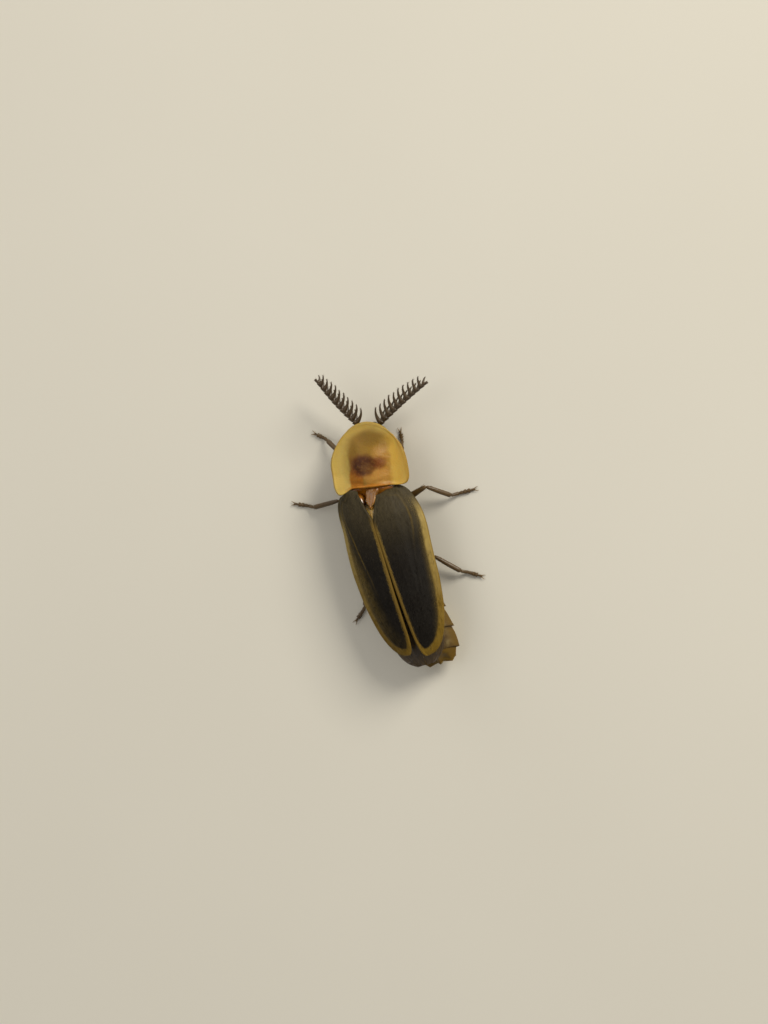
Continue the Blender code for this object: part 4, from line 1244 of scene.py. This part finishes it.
def base_wall(form):
    """Adds a wall of skin from the thorax up to the wing cases, so that no light comes under them."""
    u, v = grid(40, 16)
    x = (2.0 * u - 1.0) * 2.1
    y = 1.1 + 0.4 * v
    top = case_height(x, y) - 0.1 - 0.27 * smooth_step(0.4, 0.25, np.abs(x))
    z = WALL_FOOT + (top - WALL_FOOT) * v
    shell(form, np.stack([x, y, z], axis=-1), SKIN_THICKNESS)


def collar(finish):
    """What carries the wing cases and shows round their bases."""
    form = Form()
    waist_plate(form)
    scutellum(form)
    seam_skin(form)
    for centre, half in CASE_HUMPS:
        egg(form, np.array(centre), np.array(half))
    base_wall(form)
    form.piece("collar", finish, in_body, "amber", ["scutellum"])


def egg(form, centre, half, around=40, stations_along=28, shape=None, **fields):
    """Adds an egg-shaped body whose poles lie along Y. Shape may move its points."""
    t = np.linspace(0.02, 0.98, stations_along) * math.pi
    angle = np.linspace(0.0, 2.0 * math.pi, around, endpoint=False)
    x = np.sin(t)[:, None] * np.cos(angle)
    z = np.sin(t)[:, None] * np.sin(angle)
    y = np.broadcast_to(-np.cos(t)[:, None], x.shape)
    rings = np.stack([x, y, z], axis=-1) * half + centre
    if shape is not None:
        rings = shape(rings)
    return loft(form, rings, **fields)


def head(finish):
    """Head capsule with brow, feeler sockets, upper lip, crossed jaws and jointed palps."""

    def brow(rings):
        x, y, z = rings[..., 0], rings[..., 1], rings[..., 2]
        hollow = 0.16 * bell(x, 0.0, 0.3) * bell(y, -5.05, 0.3) * bell(z, 2.3, 0.3)
        ridge = 0.1 * bell(np.abs(x), 0.34, 0.14) * bell(y, -4.9, 0.25)
        face = 0.12 * smooth_step(2.0, 1.5, z) * smooth_step(-4.8, -5.1, y)
        return np.stack([x, y + hollow - face, z + ridge], axis=-1)

    form = Form()
    egg(form, HEAD_CENTRE, HEAD_HALF, 56, 40, brow, thin=0.1)
    egg(form, LIP_CENTRE, LIP_HALF, thin=0.4)
    for sign in (-1.0, 1.0):
        mirror = (sign, 1.0, 1.0)
        socket = curve_through([FEELER_SOCKET + (0.0, 0.16, 0.0), FEELER_SOCKET - (0.0, 0.1, 0.0)], 8)
        t = np.linspace(0.0, 1.0, len(socket))
        limb(form, socket * mirror, SOCKET_RADIUS * rounded(t, 0.3), thin=0.5)
        jaw = curve_through(JAW, 18) * mirror + (0.0, 0.0, 0.04 * sign)
        t = np.linspace(0.0, 1.0, len(jaw))
        limb(form, jaw, JAW_RADIUS * (1.0 - 0.9 * t**1.5), thin=0.55)
        t = np.linspace(0.0, 1.0, 12)
        for joints, radius in ((LONG_PALP, LONG_PALP_RADIUS), (SHORT_PALP, SHORT_PALP_RADIUS)):
            for start, end in zip(joints, joints[1:]):
                reach = (1.3 * t - 0.15)[:, None]
                path = (np.array(start) + (np.array(end) - start) * reach) * mirror
                swell = 0.9 + (1.4 * t * (1.0 - t) if end is joints[-1] else 0.2 * t)
                limb(form, path, radius * swell * rounded(t, 0.3), 12, 0.8, thin=0.45)
    form.piece("head_skin", finish, in_neck, "dark_horn", ["head"])


def eye(side, finish):
    centre = HEAD_CENTRE + EYE_PLACE * (SIDES[side], 1.0, 1.0)
    form = egg(Form(), centre, np.full(3, EYE_RADIUS), 64, 48)
    form.piece(f"eye_ball_{side}", finish, in_neck, "eye", [f"eye_{side}"])


def feeler(side, finish, down):
    """Scape, pedicel and a row of short joints. All but the last bear two curved branches."""
    draw = np.random.default_rng(FEELER_SEEDS[side])
    socket = FEELER_SOCKET * (SIDES[side], 1.0, 1.0)
    root, tip = FEELER_ENDS[side]
    ahead = unit(tip - root)
    inward = unit(np.cross(UP, ahead))
    inward = inward * np.sign(-inward[1])
    over = np.cross(ahead, inward)
    over = over * np.sign(over[2])
    length = np.linalg.norm(tip - root)

    def on_stem(t):
        t = np.asarray(t, float)[..., None]
        return root + ahead * (length * t) - inward * (FEELER_BOW[side] * np.sin(math.pi * t))

    form, hairs = Form(), []

    def joint(start, end, radius, swell):
        t = np.linspace(0.0, 1.0, 12)
        path = start + (end - start) * t[:, None]
        limb(form, path, radius * (1.0 - swell + 2.0 * swell * t) * rounded(t, 0.14), 14, thin=0.15)
        hairs.append((path, radius))

    elbow = socket + (on_stem(-JOINT_OVERLAP) - socket) * 0.7
    joint(socket, elbow, SCAPE_RADIUS, 0.2)
    joint(elbow, on_stem(0.0), PEDICEL_RADIUS, 0.15)
    pitch = LAST_JOINT / (FEELER_JOINTS - 1)
    for number in range(FEELER_JOINTS):
        t = pitch * number - JOINT_OVERLAP
        last = number == FEELER_JOINTS - 1
        end = on_stem(1.0) if last else on_stem(t + pitch * 1.08)
        joint(on_stem(t), end, FEELER_RADIUS * (1.0 - 0.045 * number), 0.22)
        if last:
            continue
        for inwards, upwards, place in BRANCH_ROWS:
            size = (1.0 - 0.5 * t**2.2) * draw.uniform(0.96, 1.04)
            u = np.linspace(0.0, 1.0, 18)[:, None]
            aside = (inward * inwards + over * upwards) * (1.5 * u - 0.5 * u * u)
            onward = ahead * BRANCH_AHEAD * (0.2 * u + 0.8 * u * u)
            path = on_stem(t + pitch * place) + size * (aside + onward)
            radii = BRANCH_RADIUS * (1.8 * (1.0 - u[:, 0]) ** 1.6 + 0.5) * rounded(u[:, 0], 0.1)
            limb(form, path, radii * (0.5 + 0.5 * size), 12, 0.75, thin=0.25)
            hairs.append((path, 0.9 * BRANCH_RADIUS))
    form.piece(f"feeler_{side}", finish, in_neck, "dark_horn", [f"antenna_{side}"])
    short_hair(f"feeler_down_{side}", hairs, draw, FEELER_HAIR, down, in_neck)


def bristles(bars, draw, density, lengths, radius, lean):
    """Fine hairs on bars, each given as its path and radius. They lean towards the bar's end."""
    roots, ways, rises = [], [], []
    for path, wide in bars:
        span = np.linalg.norm(np.diff(path, axis=0), axis=1).sum()
        count = max(3, int(density * span))
        t = draw.uniform(0.05, 0.97, count)
        place = t * (len(path) - 1)
        i = np.clip(place.astype(int), 0, len(path) - 2)
        centre = path[i] + (path[i + 1] - path[i]) * (place - i)[:, None]
        along = unit(path[i + 1] - path[i])
        out = unit(np.cross(along, draw.normal(0.0, 1.0, (count, 3))))
        roots.append(centre + out * wide * 0.9)
        ways.append(unit(out * (1.0 - lean) + along * lean))
        rises.append(along)
    roots, ways, rises = (np.concatenate(values) for values in (roots, ways, rises))
    size = draw.uniform(*lengths, len(roots))
    thick = radius * draw.uniform(0.8, 1.2, len(roots))
    points, faces, each = blades(roots, ways, rises, size, thick)
    return points, faces, np.repeat(draw.uniform(0.1, 0.9, len(roots)), each)


def patches(points):
    """A place on the bake map for each point, from the form's own length and breadth."""
    low, high = points.min(axis=0), points.max(axis=0)
    return (points[:, :2] - low[:2]) / (high[:2] - low[:2]) * 0.99 + 0.005


def short_hair(name, bars, draw, hair, finish, place):
    """The hair of a feeler or a leg, kept off the floor."""
    points, faces, tone = bristles(bars, draw, **hair)
    points[:, 2] = np.maximum(points[:, 2], HAIR_FLOOR)
    form = Form().add(points, faces, tone=tone)
    form.piece(name, finish, place, "dark_horn", unwrap=patches(points))


def leg(name, hip, knee, ankle, tip, finish, claw_finish, down):
    """One leg: coxa, trochanter, thigh, shin with spurs, five foot joints and two claws."""
    draw = np.random.default_rng(FIRST_LEG_SEED + list(LEGS).index(name))
    hip, knee, ankle, tip = (np.array(point) for point in (hip, knee, ankle, tip))
    form, claws, hairs = Form(), Form(), []

    def bar(points, radii, flatness=1.0, thin=0.1, hairy=False):
        path = curve_through(points, 26)
        t = np.linspace(0.0, 1.0, len(path))
        widths = np.interp(t, np.linspace(0.0, 1.0, len(radii)), radii)
        limb(form, path, widths * rounded(t, 0.1), 18, flatness, thin=thin)
        if hairy:
            hairs.append((path, float(np.mean(radii)) * 0.95))

    thigh = knee - hip
    outward = np.array([math.copysign(1.0, thigh[0]), 0.0, 0.0])
    if name.startswith("hind"):
        egg(form, hip + outward * 0.4 + UP * 0.32, HIND_HIP_HALF, 30, 20, thin=0.3)
    else:
        cone = [hip + outward * 0.1 + (0.0, -0.05, 1.1), hip + outward * 0.12 + UP * 0.45, hip]
        bar(cone, HIP_RADII, thin=0.3)
    bar([hip + thigh * 0.02, hip + thigh * 0.2], THIGH_RING_RADII, thin=0.45)
    middle = hip + thigh * 0.55 + LEG_BOW
    bar([hip + thigh * 0.13, middle, knee + thigh * 0.02], THIGH_RADII, 0.85, 0.2, hairy=True)
    shin = ankle - knee
    middle = knee + shin * 0.5 + LEG_BOW * 0.6
    bar([knee, middle, ankle + shin * 0.02], SHIN_RADII, 0.9, hairy=True)
    foot = tip - ankle
    ahead = unit(foot)
    side = unit(np.cross(ahead, UP))
    for sign in (-1.0, 1.0):
        root = ankle + side * sign * 0.1 - UP * 0.06
        spur = curve_through([root, root + ahead * 0.12 + side * sign * 0.05 - UP * 0.06], 6)
        limb(claws, spur, tapered(spur, SPUR_RADIUS, 0.85), 8, thin=0.5)
    sole = [ankle + foot * share for share in FOOT_SHARES]
    for share, point in zip(FOOT_SHARES, sole):
        point[2] = np.interp(share, (0.0, 0.3, 1.0), (ankle[2], *FOOT_LEVELS))
    for start, end, radii in zip(sole, sole[1:], FOOT_RADII):
        bar([start, (start + end) / 2 + UP * 0.015, end + ahead * 0.03], radii, 0.75, 0.35, hairy=True)
    level = unit(ahead * (1.0, 1.0, 0.0))
    aside = np.cross(UP, level)
    for sign in (-1.0, 1.0):
        hook = [tip + level * along + aside * sign * out - UP * drop for along, out, drop in CLAW_HOOK]
        hook = curve_through(hook, 14)
        limb(claws, hook, tapered(hook, CLAW_RADIUS, 0.88), 10, thin=0.6)
    nodes = [f"leg_{name}_{part}" for part in ("femur", "tibia", "tarsus")]
    form.piece(f"leg_{name}", finish, in_body, "dark_horn", nodes)
    claws.piece(f"claws_{name}", claw_finish, in_body, "dark_horn")
    short_hair(f"leg_down_{name}", hairs, draw, LEG_HAIR, down, in_body)


def floor():
    """A plain square of ground under the feet."""
    u, v = grid(2, 2)
    sheet = np.stack([(u - 0.5) * FLOOR_SIZE, (v - 0.5) * FLOOR_SIZE, 0.0 * u], axis=-1)
    mesh = bpy.data.meshes.new("floor")
    mesh.from_pydata((sheet.reshape(-1, 3) * MM).tolist(), [], [(0, 1, 3, 2)])
    place = mesh.attributes.new("place", "FLOAT_VECTOR", "POINT")
    place.data.foreach_set("vector", sheet.astype(np.float32).ravel())
    mesh.materials.append(floor_finish())
    obj = bpy.data.objects.new("floor", mesh)
    bpy.context.scene.collection.objects.link(obj)


def camera_axes():
    """The camera's right, up and backward directions."""
    sin, cos = math.sin(CAMERA_TILT), math.cos(CAMERA_TILT)
    back = np.array([-sin, 0.0, cos])
    across = np.array([-cos, 0.0, -sin])
    along = np.array([0.0, 1.0, 0.0])
    right = math.sin(CAMERA_ROLL) * along + math.cos(CAMERA_ROLL) * across
    up = -math.cos(CAMERA_ROLL) * along + math.sin(CAMERA_ROLL) * across
    return right, up, back


def camera():
    """Looks from the photograph's side, from so far away that the view is almost flat."""
    right, up, back = camera_axes()
    beside, above = FRAME_WIDTH / 2.0 - AIM_PIXEL[0], AIM_PIXEL[1] - FRAME_HEIGHT / 2.0
    aim = AIM + (right * beside + up * above) * PIXEL
    data = bpy.data.cameras.new("camera")
    data.lens = data.sensor_width * CAMERA_DISTANCE / (FRAME_HEIGHT * PIXEL)
    data.clip_start = 0.005
    data.clip_end = 10.0
    obj = bpy.data.objects.new("camera", data)
    bpy.context.scene.collection.objects.link(obj)
    matrix = Matrix(np.stack([right, up, back], axis=1).tolist()).to_4x4()
    matrix.translation = Vector(in_body(aim + back * CAMERA_DISTANCE))
    obj.matrix_world = matrix
    bpy.context.scene.camera = obj


def lamp(name, way, distance, size, watts, colour):
    """A soft square light that shines on the beetle from a direction."""
    data = bpy.data.lights.new(name, "AREA")
    data.size = size * MM
    data.energy = watts
    data.color = colour
    obj = bpy.data.objects.new(name, data)
    bpy.context.scene.collection.objects.link(obj)
    way = unit(way)
    obj.location = Vector(way * distance * MM)
    obj.rotation_euler = Vector(way).to_track_quat("Z", "Y").to_euler()


def studio():
    """A warm key light from above the view, two soft lights and the light of a plain room."""
    right, up, back = camera_axes()
    lamp("key", back + right * 0.55 + up * 0.75, 420.0, 160.0, 1.5, KEY_LIGHT)
    lamp("fill", back * 0.8 - right * 1.0 + up * 0.2, 520.0, 420.0, 0.55, SOFT_LIGHT)
    lamp("low", np.array([0.3, -1.0, 0.35]), 520.0, 300.0, 0.35, SOFT_LIGHT)
    world = bpy.data.worlds.new("studio")
    world.use_nodes = True
    background = world.node_tree.nodes["Background"]
    background.inputs["Color"].default_value = (*ROOM_LIGHT, 1.0)
    background.inputs["Strength"].default_value = 0.3
    bpy.context.scene.world = world
    bpy.context.scene.view_settings.view_transform = "Standard"


camera()
studio()
floor()

membrane = membrane_finish()
dark_trunk = trunk_finish("underside_dark", HORN_DARK, HORN_DARK, HORN_BROWN, LOBE_OCHRE)
warm_trunk = trunk_finish("underside_warm", AMBER, HORN_BROWN, AMBER_DARK, ORANGE)
lantern = trunk_finish("light_organ", LOBE_BROWN, LANTERN_CREAM, LANTERN_SHADE, LOBE_OCHRE)
pale_tail = trunk_finish("tail_edge", LOBE_OCHRE, LANTERN_SHADE, LOBE_BROWN, LOBE_OCHRE)
head_horn = horn_finish("head_horn")
feeler_horn = horn_finish("feeler_horn", amount=0.3)
leg_horn = horn_finish("leg_horn", LEG_BROWN, HORN_BROWN, 1.2)
claw_horn = horn_finish("claw_horn", HORN_BROWN, HORN_OCHRE, 0.4, 0.3)
eye_black = eye_finish()
case_hair = down_finish("case_down", CASE_DOWN_DARK, CASE_DOWN_PALE)
limb_hair = down_finish("limb_down", LIMB_DOWN_DARK, LIMB_DOWN_PALE)

shield(shield_finish())
prothorax(warm_trunk)
collar(amber_finish())
head(head_horn)
hind_trunk("thorax_and_abdomen", TRUNK_START, DARK_END, dark_trunk, "dark_horn", ["metathorax", "abdomen"])
hind_trunk("light_organ_plates", LANTERN_START, LANTERN_END, lantern, "light_organ", ["lantern"])
tail(pale_tail)
for side in SIDES:
    wing_case(side)
    case_down(side, case_hair)
    hind_wing(side, membrane)
    eye(side, eye_black)
    feeler(side, feeler_horn, limb_hair)
for name, points in LEGS.items():
    leg(name, *points, leg_horn, claw_horn, limb_hair)
